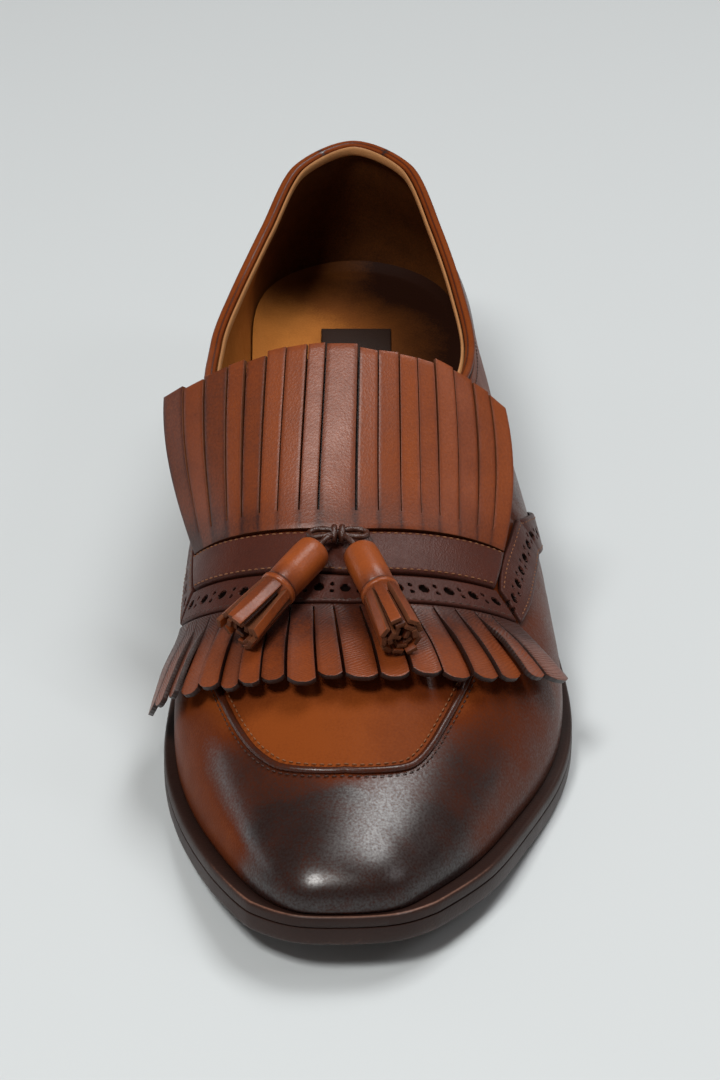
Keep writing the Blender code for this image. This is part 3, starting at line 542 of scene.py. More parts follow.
# %% Grain of the hide
grain_group, g, given, result = new_group(
    "leather_grain", {"Scale": ("Float", 900.0)}, {"Height": "Float", "Mottle": "Float", "Speck": "Float"}
)
place = g.add("ShaderNodeTexCoord").outputs["Object"]
pores = g.add("ShaderNodeTexVoronoi", {"Vector": place, "Scale": given["Scale"]}).outputs["Distance"]
fuzz = g.noise(place, g.math("MULTIPLY", given["Scale"], 2.6), 3.0)
g.put(result["Height"], g.math("ADD", g.math("MULTIPLY", pores, 0.6), g.math("MULTIPLY", fuzz, 0.5)))
g.put(result["Mottle"], g.noise(place, g.math("MULTIPLY", given["Scale"], 0.07), 5.0, 0.6))
g.put(result["Speck"], g.noise(place, given["Scale"], 2.0))
print("effect:", grain_group.name)

# %% Tones of the dye
BLACK = (0.0, 0.0, 0.0, 1.0)
tone_group, g, given, result = new_group(
    "tones_by_burnish_and_shade",
    {
        "Amount": ("Float", 0.0),
        "Mottle": ("Float", 0.5),
        "Speck": ("Float", 0.5),
        "Spread": ("Float", 0.3),
        "Light": ("Color", BLACK),
        "Middle": ("Color", BLACK),
        "Dark": ("Color", BLACK),
    },
    {"Color": "Color", "Depth": "Float"},
)
uneven = g.math("SUBTRACT", g.math("ADD", given["Mottle"], given["Speck"]), 1.0)
depth = g.math("ADD", given["Amount"], g.math("MULTIPLY", uneven, given["Spread"]), clamp=True)
first = g.mix(g.math("MULTIPLY", depth, 2.0, clamp=True), given["Light"], given["Middle"])
deeper = g.math("SUBTRACT", g.math("MULTIPLY", depth, 2.0), 1.0, clamp=True)
g.put(result["Color"], g.mix(deeper, first, given["Dark"]))
g.put(result["Depth"], depth)
print("effect:", tone_group.name)

# %% [markdown]
# One row of the table below is one finish: its three tones, how far the mottle spreads them, the scale and
# the depth of its pores, its roughness, how the burnish shifts the roughness (gloss), its shine, its coat
# of wax, and the attribute that says how deep the burnish and the painted shade are. A low shine with a coat
# only where the burnish is deep keeps the cognac clear and lets the dark toe gleam.

# %% Table of finishes
Tones = namedtuple("Tones", "light middle dark")
Leather = namedtuple("Leather", "name tones spread scale bump roughness gloss shine coat field")
LEATHERS = [
    Leather("cognac_calf", Tones((0.205, 0.047, 0.009), (0.105, 0.021, 0.005), (0.012, 0.0034, 0.0022)),
            0.34, 1700.0, 0.00006, 0.42, -0.08, 0.03, 1.0, "burnish"),
    Leather("saddle_calf", Tones((0.095, 0.023, 0.012), (0.050, 0.012, 0.007), (0.006, 0.0025, 0.002)),
            0.36, 1900.0, 0.00010, 0.30, 0.26, 0.20, 0.0, "burnish"),
    Leather("fringe_calf", Tones((0.290, 0.066, 0.013), (0.165, 0.034, 0.007), (0.035, 0.007, 0.003)),
            0.40, 1600.0, 0.00005, 0.33, 0.10, 0.34, 0.0, "burnish"),
    # lining_kid takes its tones from shade_in, a painted shade
    Leather("lining_kid", Tones((0.520, 0.190, 0.036), (0.160, 0.050, 0.010), (0.018, 0.005, 0.002)),
            0.22, 1800.0, 0.00004, 0.62, 0.05, 0.10, 0.0, "shade_in"),
    # the lining edge: the lining's tan, lightened into a painted highlight along the rim
    Leather("lining_rim_highlight", Tones((0.600, 0.310, 0.130), (0.400, 0.180, 0.066), (0.150, 0.055, 0.018)),
            0.40, 2400.0, 0.00005, 0.45, 0.0, 0.40, 0.0, ""),
    Leather("raw_edge", Tones((0.165, 0.052, 0.016), (0.088, 0.024, 0.008), (0.025, 0.007, 0.003)),
            0.70, 3600.0, 0.00010, 0.75, 0.0, 0.25, 0.0, ""),
    Leather("dyed_edge", Tones((0.030, 0.010, 0.006), (0.016, 0.005, 0.003), (0.006, 0.002, 0.0015)),
            0.50, 2400.0, 0.00005, 0.45, 0.0, 0.35, 0.05, ""),
    # the floor of a punched hole, painted near black as the shade inside it
    Leather("hole_shade", Tones((0.006, 0.003, 0.002), (0.004, 0.002, 0.0015), (0.002, 0.001, 0.001)),
            0.50, 2400.0, 0.00004, 0.90, 0.0, 0.03, 0.0, ""),
    Leather("sole_edge", Tones((0.220, 0.105, 0.070), (0.030, 0.012, 0.008), (0.008, 0.003, 0.0025)),
            0.30, 1200.0, 0.00005, 0.40, 0.06, 0.25, 0.05, "burnish"),
    Leather("waxed_cord", Tones((0.070, 0.020, 0.009), (0.035, 0.010, 0.005), (0.010, 0.003, 0.002)),
            0.60, 3000.0, 0.00008, 0.34, 0.0, 0.50, 0.10, ""),
    Leather("dark_thread", Tones((0.060, 0.022, 0.012), (0.034, 0.012, 0.007), (0.014, 0.005, 0.003)),
            0.80, 5000.0, 0.00008, 0.50, 0.0, 0.40, 0.0, ""),
    Leather("tan_thread", Tones((0.260, 0.110, 0.045), (0.170, 0.064, 0.024), (0.070, 0.024, 0.010)),
            0.80, 5000.0, 0.00008, 0.55, 0.0, 0.30, 0.0, ""),
    Leather("label_patch", Tones((0.030, 0.014, 0.009), (0.018, 0.009, 0.006), (0.010, 0.005, 0.004)),
            0.40, 2200.0, 0.00006, 0.45, 0.0, 0.40, 0.0, ""),
    Leather("lift_rubber", Tones((0.020, 0.013, 0.011), (0.013, 0.008, 0.007), (0.006, 0.004, 0.004)),
            0.60, 2600.0, 0.00008, 0.62, 0.0, 0.40, 0.0, ""),
]
print("rows:", len(LEATHERS))

# %% Materials
PLAIN_DEPTH = 0.35  # burnish of a finish that reads no attribute
PATCHINESS = 0.16  # how far the mottle moves the roughness
WAX_ROUGHNESS, WAX_IOR = 0.32, 1.65
WAX_SPECK = 1.5  # how fully the specks of the hide take the wax
HATCH_DEPTH = 0.00006


def leather_material(row):
    """A leather finish: three tones picked by the burnish and the painted shade at a point and by the hide's
    mottle, with pores in its normals. Where burnish and painted shade run deep, gloss shifts the roughness
    and the coat of wax thickens; worn strips get the fine hatch of leather that was bent often."""
    material = bpy.data.materials.new(row.name)
    material.use_nodes = True
    g = Graph(material.node_tree)
    sockets = material.node_tree.nodes["Principled BSDF"].inputs
    grain = g.group(grain_group, {"Scale": row.scale})
    tones = g.group(
        tone_group,
        {
            "Amount": g.attribute(row.field) if row.field else PLAIN_DEPTH,
            "Mottle": grain["Mottle"],
            "Speck": grain["Speck"],
            "Spread": row.spread,
            "Light": (*row.tones.light, 1),
            "Middle": (*row.tones.middle, 1),
            "Dark": (*row.tones.dark, 1),
        },
    )
    g.put(sockets["Base Color"], tones["Color"])
    patchy = g.math("MULTIPLY_ADD", grain["Mottle"], PATCHINESS, row.roughness - PATCHINESS / 2)
    g.put(sockets["Roughness"], g.math("MULTIPLY_ADD", tones["Depth"], row.gloss, patchy))
    sockets["Specular IOR Level"].default_value = row.shine
    deep = g.math("SUBTRACT", g.math("MULTIPLY", tones["Depth"], 2.0), 1.0, clamp=True)
    sparkle = g.math("MULTIPLY", grain["Speck"], WAX_SPECK, clamp=True)
    g.put(sockets["Coat Weight"], g.math("MULTIPLY", g.math("MULTIPLY", deep, row.coat), sparkle))
    sockets["Coat Roughness"].default_value = WAX_ROUGHNESS
    sockets["Coat IOR"].default_value = WAX_IOR
    bump = g.add("ShaderNodeBump", {"Strength": 1.0, "Distance": row.bump, "Height": grain["Height"]})
    worn = g.math("MULTIPLY", g.math("SINE", g.attribute("hatch")), g.attribute("worn"))
    hatch = {"Strength": 1.0, "Distance": HATCH_DEPTH, "Height": worn, "Normal": bump.outputs["Normal"]}
    g.put(sockets["Normal"], g.add("ShaderNodeBump", hatch).outputs["Normal"])
    return material


FINISH = {row.name: leather_material(row) for row in LEATHERS}
print("finishes:", ", ".join(FINISH))

# %% [markdown]
# ## The sole
# The outsole, the welt and the heel are cut and trimmed flush, so each is a stack of rings that follow the
# same outline at different heights. Lathing would give a round shape and a box no waist; rings carried round
# the outline give the real waisted sole, its rounded edge and its toe spring in one array.

# %% Outsole
RingRow = namedtuple("RingRow", "offset height")
OUTSOLE_EDGE = [RingRow(*row) for row in (
    (-0.0040, 0.0), (-0.0034, 0.00025), (-0.0028, 0.0), (-0.0012, 0.0), (-0.0005, 0.0003),
    (-0.0001, 0.0010), (0.0, 0.0019), (0.0, 0.0045), (-0.0001, 0.0050), (-0.0004, 0.0052),
)]


def ring_faces(count, rings, fold=0):
    """Faces of rings laid one over the other (stored round by round), and a ladder of quads over both ends,
    whose rungs join point i of a ring to point fold - i."""
    i = np.arange(count // 2)
    rungs = np.stack([i, i + 1, fold - i - 1, fold - i], axis=1) % count * rings
    ends = [rungs[:, ::-1], rungs + rings - 1]
    caps = [list(dict.fromkeys(face)) for end in ends for face in end.tolist()]
    return grid_quads(count, rings, around=True).tolist() + caps


def ring_grid(rows, **choice):
    """Points of a stack of rings, stored round by round."""
    return np.stack([sole_ring(SOLE_U, row.offset, row.height, **choice) for row in rows], axis=1)


sole_points = ring_grid(OUTSOLE_EDGE)
sole_height = sole_points[..., 2] - tread_height(sole_points[..., 1])
add_piece(
    "outsole_leather", sole_points, ring_faces(len(SOLE_U), len(OUTSOLE_EDGE)),
    [FINISH["sole_edge"]], ["outsole"], {"burnish": 0.50 + 0.15 * rising(sole_height, 0, SOLE_THICKNESS)},
)

# %% [markdown]
# The welt is the strip that the upper is sewn to. It lies flush on the outsole with a hairline between
# them, and its upper corner is paler round the toe.

# %% Welt
WELT_INSET = 0.007  # how far it reaches in under the upper
WELT_LOW = SOLE_THICKNESS + GAP
WELT_TOP = WELT_LOW + WELT_THICKNESS
WELT_EDGE = [RingRow(*row) for row in (
    (-0.0004, WELT_LOW), (-0.0001, WELT_LOW + 0.0003), (-0.0001, WELT_TOP - 0.0009),
    (-0.0003, WELT_TOP - 0.0003), (-0.0007, WELT_TOP), (-0.0013, WELT_TOP),
)]
WELT_TONES = [0.66, 0.64, 0.64, 0.56, 0.15, 0.72, 0.90, 0.90]
WELT_CORNER = 4  # the row of the pale corner
welt_inner = [RingRow(-WELT_INSET, WELT_TOP), RingRow(-WELT_INSET, WELT_LOW)]
welt_points = np.concatenate([ring_grid(WELT_EDGE), ring_grid(welt_inner, follow_edge=False)], axis=1)
welt_dark = np.tile(WELT_TONES, (len(SOLE_U), 1))
welt_dark[:, WELT_CORNER] += 0.5 * falling(along_of(welt_points[:, WELT_CORNER, 1]), 0.96, 0.10)
add_piece(
    "welt_strip", welt_points, grid_quads(len(SOLE_U), welt_points.shape[1], True, True),
    [FINISH["sole_edge"]], ["welt"], {"burnish": welt_dark},
)

# %% [markdown]
# The insole fills the ring of the welt, and the sock covers it. At its edge the sock turns a little way up
# the wall, so no gap shows between them. It is painted darker at the heel, towards the toe and on its lateral
# side, as shade.

# %% Insole and sock
INSOLE_THICKNESS = 0.0035
INSOLE_TOP = FEATHER + INSOLE_THICKNESS
WALL = 0.002  # leather and lining of the upper
HOLLOW_SIDE = -WELT_INSET - GAP
SOCK_SIDE = -WALL - 4 * GAP
INSOLE_RINGS = [RingRow(*row) for row in (
    (HOLLOW_SIDE, WELT_LOW), (HOLLOW_SIDE, FEATHER), (SOCK_SIDE, FEATHER), (SOCK_SIDE, INSOLE_TOP - 0.0007),
    (SOCK_SIDE - 0.0004, INSOLE_TOP + 0.0004), (SOCK_SIDE - 0.0014, INSOLE_TOP + 0.0002),
    (SOCK_SIDE - 0.0026, INSOLE_TOP),
)]
COVE_ROW = 4  # where the turned-up edge goes in
COVE_HEIGHT = 0.11  # share of the wall
LIT_SIDE = -0.007  # lateral of this the sock lies in shade
cove = lifted(SOLE_U, np.full(len(SOLE_U), COVE_HEIGHT), np.full(len(SOLE_U), -WALL - GAP))[0]
sock_points = np.insert(ring_grid(INSOLE_RINGS, follow_edge=False), COVE_ROW, cove, axis=1)
sock_along = along_of(sock_points[..., 1])
# painted shade on the sock: darker at the heel, towards the toe and lateral of LIT_SIDE
sock_shade = 0.02 + 0.60 * falling(sock_along, 0.15, 0.12) + 0.70 * rising(sock_along, 0.31, 0.08)
sock_shade += 28 * np.maximum(sock_points[..., 0] - LIT_SIDE, 0)
add_piece(
    "sock_lining", sock_points, ring_faces(len(SOLE_U), sock_points.shape[1]),
    [FINISH["lining_kid"]], ["insole"], {"shade_in": sock_shade},
)

# %% [markdown]
# The heel is glued up from lifts of sole leather, so fine lines run round it. Shallow grooves in the stack of
# rings show them, and the rubber top lift below is a separate stack.

# %% Heel stack
HEEL_BREAST = 0.26
HEEL_COLUMNS = 90  # on each side
HEEL_LIFTS = 3
TOP_LIFT = 0.006
STACK_FOOT = TOP_LIFT + GAP
HEEL_INSET, HEEL_TAPER = 0.0018, 0.0008  # how far its foot stands in from the sole, and how much less its top
GROOVE, GROOVE_HALF = 0.00025, 0.015  # depth, and half width as a share of the stack
STACK_TONE, GROOVE_SHADE = 0.55, 1500  # burnish, and how much a metre of dent would add to it
breast = np.interp(-HEEL_BREAST, -along_of(loop_at(SIDE_U)[:, 1]), SIDE_U)
heel_side = np.linspace(breast, HALF, HEEL_COLUMNS + 1)
HEEL_U = np.concatenate([heel_side, PERIOD - heel_side[-2::-1]])
grooves = (np.arange(1, HEEL_LIFTS) / HEEL_LIFTS)[:, None] + np.array([-GROOVE_HALF, 0.0, GROOVE_HALF])
stack_shares = np.concatenate([[0.0, 0.02], grooves.ravel(), [0.98, 1.0]])
stack_dents = np.concatenate([[0.0003, 0.0], np.tile([0.0, GROOVE, 0.0], HEEL_LIFTS - 1), [0.0, 0.0002]])
stack_offsets = -HEEL_INSET + HEEL_TAPER * stack_shares - stack_dents
stack_points = np.stack([sole_ring(HEEL_U, offset, -GAP) for offset in stack_offsets], axis=1)
stack_points[..., 2] = STACK_FOOT + (stack_points[..., 2] - STACK_FOOT) * stack_shares
add_piece(
    "heel_lifts", stack_points, ring_faces(len(HEEL_U), len(stack_shares), fold=-1),
    [FINISH["sole_edge"]], ["heel_stack"],
    {"burnish": np.broadcast_to(STACK_TONE + stack_dents * GROOVE_SHADE, stack_points.shape[:2])},
)

# %% Top lift
LIFT_ROWS = [RingRow(*row) for row in (
    (-0.0024, 0.0), (-0.0019, 0.0005), (-0.0018, TOP_LIFT - 0.0004), (-0.0020, TOP_LIFT),
)]
lift_points = np.stack([sole_ring(HEEL_U, row.offset, 0.0) for row in LIFT_ROWS], axis=1)
lift_points[..., 2] = [row.height for row in LIFT_ROWS]
add_piece(
    "top_lift_rubber", lift_points, ring_faces(len(HEEL_U), len(LIFT_ROWS), fold=-1),
    [FINISH["lift_rubber"]], ["heel_top_lift"],
)

# %% [markdown]
# ## The upper
# One skin covers the last from the feather line to the crown and the collar. It is thickened inwards, so
# that the lining shows inside. The burnish is not painted by eye in the shader: it is worked out at each
# point from how far forward and how low the point lies, and from its distance to the apron's seam; where
# the apron runs under the fringe a painted shade is added to it.

# %% Apron line, burnish and painted shade
ApronRow = namedtuple("ApronRow", "foot lateral medial")
APRON = [
    ApronRow(0.881, 0.000, 0.000),
    ApronRow(0.877, 0.105, -0.110),
    ApronRow(0.868, 0.215, -0.228),
    ApronRow(0.857, 0.270, -0.300),
    ApronRow(0.836, 0.305, -0.366),
    ApronRow(0.808, 0.327, -0.411),
    ApronRow(0.780, 0.347, -0.441),
    ApronRow(0.752, 0.366, -0.472),
]


def burnish_and_shade_of(foot, girth):
    """Depth of the burnish and painted shade, 0 to 1: one less the product of what every zone leaves clear.
    The zones are the toe, a band round the apron's seam, the side walls, their lowest part, the quarters, the
    lateral half of the vamp, and a painted shade on the apron where it is tucked under the fringe."""
    rows = np.array(APRON)[::-1]
    medial = girth < 0
    height = np.abs(girth)
    seam = np.where(medial, -np.interp(foot, rows[:, 0], rows[:, 2]), np.interp(foot, rows[:, 0], rows[:, 1]))
    outside = np.maximum(height - seam, 4 * (foot - APRON[0].foot))
    past_seam = rising(outside, -0.02, 0.05)
    edge = rising(height, np.where(medial, 0.56, 0.62), 0.20)
    paler = medial * rising(foot, 0.35, 0.25)
    zones = [
        0.98 * rising(foot, 0.876 + np.where(medial, 0.030, 0.006) * edge, 0.045) * past_seam,
        0.80 * rising(foot, 0.77, 0.08) * past_seam * (1 - edge) * (0.50 + 0.50 * smooth(height / 0.3)),
        (0.50 - 0.10 * paler) * smooth(outside / 0.15),
        (0.45 - 0.20 * paler) * rising(height, 0.86, 0.14),
        0.45 * falling(foot, 0.60, 0.10),
        0.26 * smooth(girth / 0.25) * rising(foot, 0.45, 0.2),
        # painted shade: the apron darkened where it runs under the fringe tips
        0.45 * falling(foot, 0.818, 0.05) * rising(foot, 0.70, 0.05) * (1 - past_seam),
    ]
    return 1 - math.prod(1 - zone for zone in zones)


print("apron runs back to", APRON[-1].foot, "of the length")

# %% [markdown]
# At the front end of the crown all the columns meet, and the skin creases there a little. A polished toe
# shows such a crease at once. A smooth polynomial is fitted to the ring of points round that place, and the
# heights inside the ring are blended into it.

# %% Upper
UPPER_SPLITS = 14  # columns between two stations
UPPER_ROWS = 64
CROWN_REACH = 0.016  # how far round the crown's end the polynomial is fitted
CROWN_CORE = 0.35  # share of that reach which isn't fitted
CROWN_DEGREE = 5


def crown_settle(points):
    """Height to add near the crown's end: the fitted polynomial in plan less the height there, faded out."""
    plan = (points - points[0, -1])[..., :2] / CROWN_REACH
    away = np.linalg.norm(plan, axis=-1)
    powers = np.array([(i, j) for i in range(CROWN_DEGREE + 1) for j in range(CROWN_DEGREE + 1 - i)])
    terms = np.prod(plan[..., None, :] ** powers, axis=-1)
    ring = (away > CROWN_CORE) & (away < 1.0)
    fitted = terms @ np.linalg.lstsq(terms[ring], points[ring][:, 2], rcond=None)[0]
    return (1 - rising(away, CROWN_CORE, 0.5)) * (fitted - points[..., 2])


upper_u = (KNOTS[:, None] + STEPS[:, None] * np.arange(UPPER_SPLITS) / UPPER_SPLITS).ravel()
upper_v = np.linspace(0, 1, UPPER_ROWS)
upper_points = skin(upper_u[:, None], upper_v)
settle = crown_settle(upper_points)
upper_points[..., 2] += settle
print("crown settled by up to", (np.abs(settle).max() * 1000).round(3), "mm")
upper_foot = along_of(loop_at(upper_u)[:, 1])[:, None]
upper_girth = np.where(upper_u[:, None] > HALF, -1, 1) * (1 - upper_v)
# painted shade on the lining: darker on the lateral side and towards the heel
lateral_shade = 0.50 * (upper_girth > 0) * rising(upper_foot, 0.06, 0.08)
upper = add_piece(
    "upper_calf", upper_points, grid_quads(len(upper_u), UPPER_ROWS, around=True),
    [FINISH["cognac_calf"], FINISH["lining_kid"], FINISH["dyed_edge"]], ["upper"],
    {
        "burnish": burnish_and_shade_of(upper_foot, upper_girth),
        "shade_in": 0.24 + 0.62 * falling(upper_foot, 0.20, 0.20) + lateral_shade,
    },
    weld=2e-6, crisp=70,
)
thicken(upper, WALL - GAP, -1, rim=2, inside=1)

# %% [markdown]
# ## Saddle strap and punched trim
# The strap is a plain band of darker calf, rolled at its edges. The trim in front of it and the wings at the
# sides are punched: a large hole every 6 mm and a pair of small ones between. The holes are real dents in a
# fine grid, placed by the distance walked along the trim, so they stay round on the curved upper; their
# floors are painted near black as the shade inside a hole.

# %% Edges of the saddle
SKIN_GAP = 0.0005  # air under an overlay
EdgeRow = namedtuple("EdgeRow", "girth foot")


def edge_rows(*pairs):
    """Rows of an edge across the vamp, from its medial to its lateral end."""
    return [EdgeRow(*pair) for pair in pairs]


STRAP_BACK = edge_rows((-0.64, 0.580), (-0.26, 0.619), (0.0, 0.621), (0.23, 0.621), (0.51, 0.604))
STRAP_FRONT = edge_rows((-0.60, 0.626), (-0.26, 0.657), (0.0, 0.661), (0.23, 0.661), (0.45, 0.651))
BAND_FRONT = edge_rows((-0.72, 0.640), (-0.26, 0.690), (0.0, 0.690), (0.24, 0.690), (0.54, 0.674))
FRINGE_TIPS = edge_rows((-0.93, 0.712), (-0.38, 0.785), (0.0, 0.800), (0.43, 0.768), (0.78, 0.706))


def edge_at(rows, share):
    """(foot, girth) along an edge: the girth runs evenly, the foot station is a cubic of it."""
    girths, feet = np.array(rows).T
    girth = girths[0] + (girths[-1] - girths[0]) * np.asarray(share)
    return np.polyval(np.polyfit(girths, feet, 3), girth), girth


def between_edges(front, back, across, along, lift):
    """Point and normal of a sheet between two edges, a given lift over the skin."""
    foot_front, girth_front = edge_at(front, across)
    foot_back, girth_back = edge_at(back, across)
    foot = foot_front + (foot_back - foot_front) * along
    girth = girth_front + (girth_back - girth_front) * along
    return on_upper(foot, girth, lift)


print("edges of the saddle:", len([STRAP_BACK, STRAP_FRONT, BAND_FRONT]))

# %% Punched holes
Punch = namedtuple("Punch", "pitch hole pin pin_apart depth soft")
PUNCH = Punch(0.0063, 0.00115, 0.00045, 0.0011, 0.0010, 0.00012)


def walk(path, closed=False):
    """Length walked along a path at each of its points, and back to its start if it is closed."""
    ends = np.vstack([path, path[:1]]) if closed else path
    return np.concatenate([[0], np.cumsum(np.linalg.norm(np.diff(ends, axis=0), axis=1))])


def punched(sheet):
    """1 inside the punched holes of a sheet of points, 0 outside: large round holes along its middle line at
    an even pitch, and two pin holes across the middle line half-way between."""
    middle = sheet[:, sheet.shape[1] // 2]
    length = walk(middle)
    pitch = length[-1] / max(round(length[-1] / PUNCH.pitch), 1)
    turn = (length / pitch)[:, None]
    from_hole = (turn - np.floor(turn) - 0.5) * pitch
    from_pin = (turn - np.round(turn)) * pitch
    width = np.linalg.norm(sheet[:, -1] - sheet[:, 0], axis=1)[:, None]
    side = np.sign(np.linspace(-0.5, 0.5, sheet.shape[1]))
    across = np.linalg.norm(sheet - middle[:, None], axis=2) * side
    big = np.hypot(from_hole, across) - PUNCH.hole
    pins = np.hypot(from_pin, np.abs(across) - np.minimum(PUNCH.pin_apart, width / 5)) - PUNCH.pin
    return 1 - rising(np.minimum(big, pins), -PUNCH.soft, 2 * PUNCH.soft)


print("holes every", PUNCH.pitch * 1000, "mm")

# %% Trim with rolled edges
Trim = namedtuple("Trim", "name stands_for lines thickness length width roll dark holes")
SUNK = 1.2  # a face whose four corners are dented by more than this in all is part of a hole


def spread(count, size, roll):
    """Shares from 0 to 1 for a piece of that size, with extra lines where its edge rolls over."""
    lip = np.array([0, 0.12, 0.3, 0.6]) * roll / size
    return np.concatenate([lip, np.linspace(roll / size, 1 - roll / size, count), 1 - lip[::-1]])


def rolled_edge(across, along, width, length, roll):
    """1 inside a piece, falling as a quarter circle to 0 at its borders."""
    inside = np.minimum(np.minimum(across, 1 - across) * width, np.minimum(along, 1 - along) * length)
    return np.sqrt(1 - (1 - np.clip(inside / roll, 0, 1)) ** 2)


def trim_piece(trim, place):
    """An overlay with a rolled edge. place gives points for shares (along its length, across its width)
    and a lift; the upper face dips into the holes."""
    long_way = spread(trim.lines[0], trim.length, trim.roll)[:, None]
    wide_way = spread(trim.lines[1], trim.width, trim.roll)[None, :]
    round_off = rolled_edge(long_way, wide_way, trim.length, trim.width, trim.roll)
    plain = place(long_way, wide_way, np.full(round_off.shape, SKIN_GAP))
    dents = punched(plain) if trim.holes else 0 * round_off
    lift = SKIN_GAP + trim.thickness * (0.25 + 0.75 * round_off) - PUNCH.depth * dents
    faces, rim_from = slab_faces(*round_off.shape)
    chosen = np.where(np.arange(len(faces)) < rim_from, 0, 1)
    sunk = (dents[:-1, :-1] + dents[1:, :-1] + dents[:-1, 1:] + dents[1:, 1:] > SUNK).ravel()
    # faces sunk in a hole take the near-black finish, a painted shade, and the dents raise the burnish to
    # full
    chosen[: len(sunk)][sunk] = 2
    tone = np.maximum(trim.dark + 0.30 * (1 - round_off), dents)
    add_piece(
        trim.name, np.stack([place(long_way, wide_way, lift), plain]), faces,
        [FINISH["saddle_calf"], FINISH["dyed_edge"], FINISH["hole_shade"]], [trim.stands_for],
        {"burnish": np.stack([tone, tone])}, chosen=chosen, crisp=60,
    )


# %% Strap and front band
STRAP_THICKNESS = 0.0018
BAND_THICKNESS = 0.0013
END_INSET = 0.010  # share of an edge left free at each end
SIDE_INSET = 0.03  # share of the width left free to the neighbour


def strap_place(across, along, lift):
    """Point of the strap: across from medial to lateral, along from its front edge to its back edge."""
    share = END_INSET + (1 - 2 * END_INSET) * across
    return between_edges(STRAP_FRONT, STRAP_BACK, share, SIDE_INSET + (1 - SIDE_INSET) * along, lift)[0]


def band_place(across, along, lift):
    """Point of the punched band in front of the strap."""
    share = END_INSET + (1 - 2 * END_INSET) * across
    return between_edges(BAND_FRONT, STRAP_FRONT, share, (1 - SIDE_INSET) * along, lift)[0]


trim_piece(
    Trim("saddle_strap_calf", "saddle_strap", (220, 26), STRAP_THICKNESS, 0.100, 0.011, 0.0011, 0.42, False),
    strap_place,
)
trim_piece(
    Trim("punched_band", "brogue_band_front", (520, 36), BAND_THICKNESS, 0.115, 0.0080, 0.0007, 0.50, True),
    band_place,
)

# %% Wings
WING_THICKNESS = BAND_THICKNESS - 0.0002
WingRow = namedtuple("WingRow", "low_foot low_girth high_foot high_girth")
WINGS = {
    "brogue_wing_lateral": [
        WingRow(0.671, 0.551, 0.649, 0.465),
        WingRow(0.600, 0.660, 0.591, 0.530),
        WingRow(0.537, 0.760, 0.533, 0.640),
        WingRow(0.490, 0.870, 0.475, 0.750),
        WingRow(0.455, 0.975, 0.405, 0.975),
    ],
    "brogue_wing_medial": [
        WingRow(0.635, -0.731, 0.621, -0.615),
        WingRow(0.590, -0.770, 0.572, -0.663),
        WingRow(0.540, -0.815, 0.525, -0.700),
        WingRow(0.495, -0.885, 0.470, -0.775),
        WingRow(0.460, -0.975, 0.410, -0.975),
    ],
}


def wing_place(rows):
    """A function that gives the points of one wing: its rows carried onto smooth curves along its length."""
    share = np.linspace(0, 1, len(rows))
    curves = [np.polyfit(share, column, len(rows) - 1) for column in np.array(rows).T]
    lateral = rows[0].low_girth > 0

    def place(along, across, lift):
        low_foot, low_girth, high_foot, high_girth = (np.polyval(curve, along) for curve in curves)
        step = 1 - across if lateral else across
        foot = high_foot + (low_foot - high_foot) * step
        girth = high_girth + (low_girth - high_girth) * step
        return on_upper(foot, girth, lift)[0]

    return place


for name, rows in WINGS.items():
    wing = Trim(name + "_punched", name, (380, 36), WING_THICKNESS, 0.080, 0.0080, 0.0004, 0.48, True)
    trim_piece(wing, wing_place(rows))

# %% [markdown]
# ## Apron seam and stitches
# The apron is drawn up to the vamp with a ridge between two rows of stitches. The ridge is an oval carried
# along the seam. A curve object with a bevel would do as well; an array keeps the burnish of every point at
# hand.

# %% Apron ridge
RIDGE_SIDES = 14
RIDGE_SPLITS = 24  # points between two rows of the apron
RIDGE_HALF = (0.00095, 0.0009)  # across the seam and up
RIDGE_TONE = 0.82


def heading(path, closed=False):
    """Unit direction of a path at each of its points."""
    around = np.vstack([path[-1:], path, path[:1]])
    return unit(around[2:] - around[:-2] if closed else np.gradient(path, axis=0))


def circle(count):
    """Points round a unit circle."""
    turn = 2 * np.pi * np.arange(count) / count
    return np.stack([np.cos(turn), np.sin(turn)], axis=1)


def tube(name, path, normals, section, finish, stands_for=(), closed=False, fields=None, crisp=60):
    """A section carried along a path, its first axis across the path and its second along the normals. The
    section may change from point to point. Open ends are closed by flat caps."""
    across = unit(np.cross(heading(path, closed), normals))
    rings = path[:, None] + section[..., 0, None] * across[:, None] + section[..., 1, None] * normals[:, None]
    columns, rows = rings.shape[:2]
    faces = grid_quads(columns, rows, around=closed, rolled=True).tolist()
    if not closed:
        faces += [list(range(rows))[::-1], list(range((columns - 1) * rows, columns * rows))]
    add_piece(name, rings, faces, [finish], stands_for, fields, crisp=crisp)


def through_points(points, splits):
    """A smooth curve through points: cubic Hermite spans, each split evenly."""
    points = np.asarray(points, float)
    slopes = np.gradient(points, axis=0)
    t = np.arange(splits)[:, None] / splits
    spans = hermite(t, points[:-1, None], points[1:, None], slopes[:-1, None], slopes[1:, None])
    return np.vstack([spans.reshape(-1, points.shape[1]), points[-1:]])


medial_line = [(row.foot, row.medial) for row in APRON[:0:-1]]
lateral_line = [(row.foot, row.lateral) for row in APRON]
apron_foot, apron_girth = through_points(medial_line + lateral_line, RIDGE_SPLITS).T
apron_path, apron_normals = on_upper(apron_foot, apron_girth, GAP)
tube(
    "apron_ridge", apron_path, apron_normals, circle(RIDGE_SIDES) * RIDGE_HALF,
    FINISH["cognac_calf"], ["apron_seam"],
    fields={"burnish": np.full((len(apron_path), RIDGE_SIDES), RIDGE_TONE)},
)

# %% [markdown]
# A stitch is a short spindle whose ends sink into the leather. All the stitches of one seam are worked out
# in one array: a small template is turned into the direction of the seam at every stitch. Instances of one
# object would be lighter, but the export takes a seam as one piece.

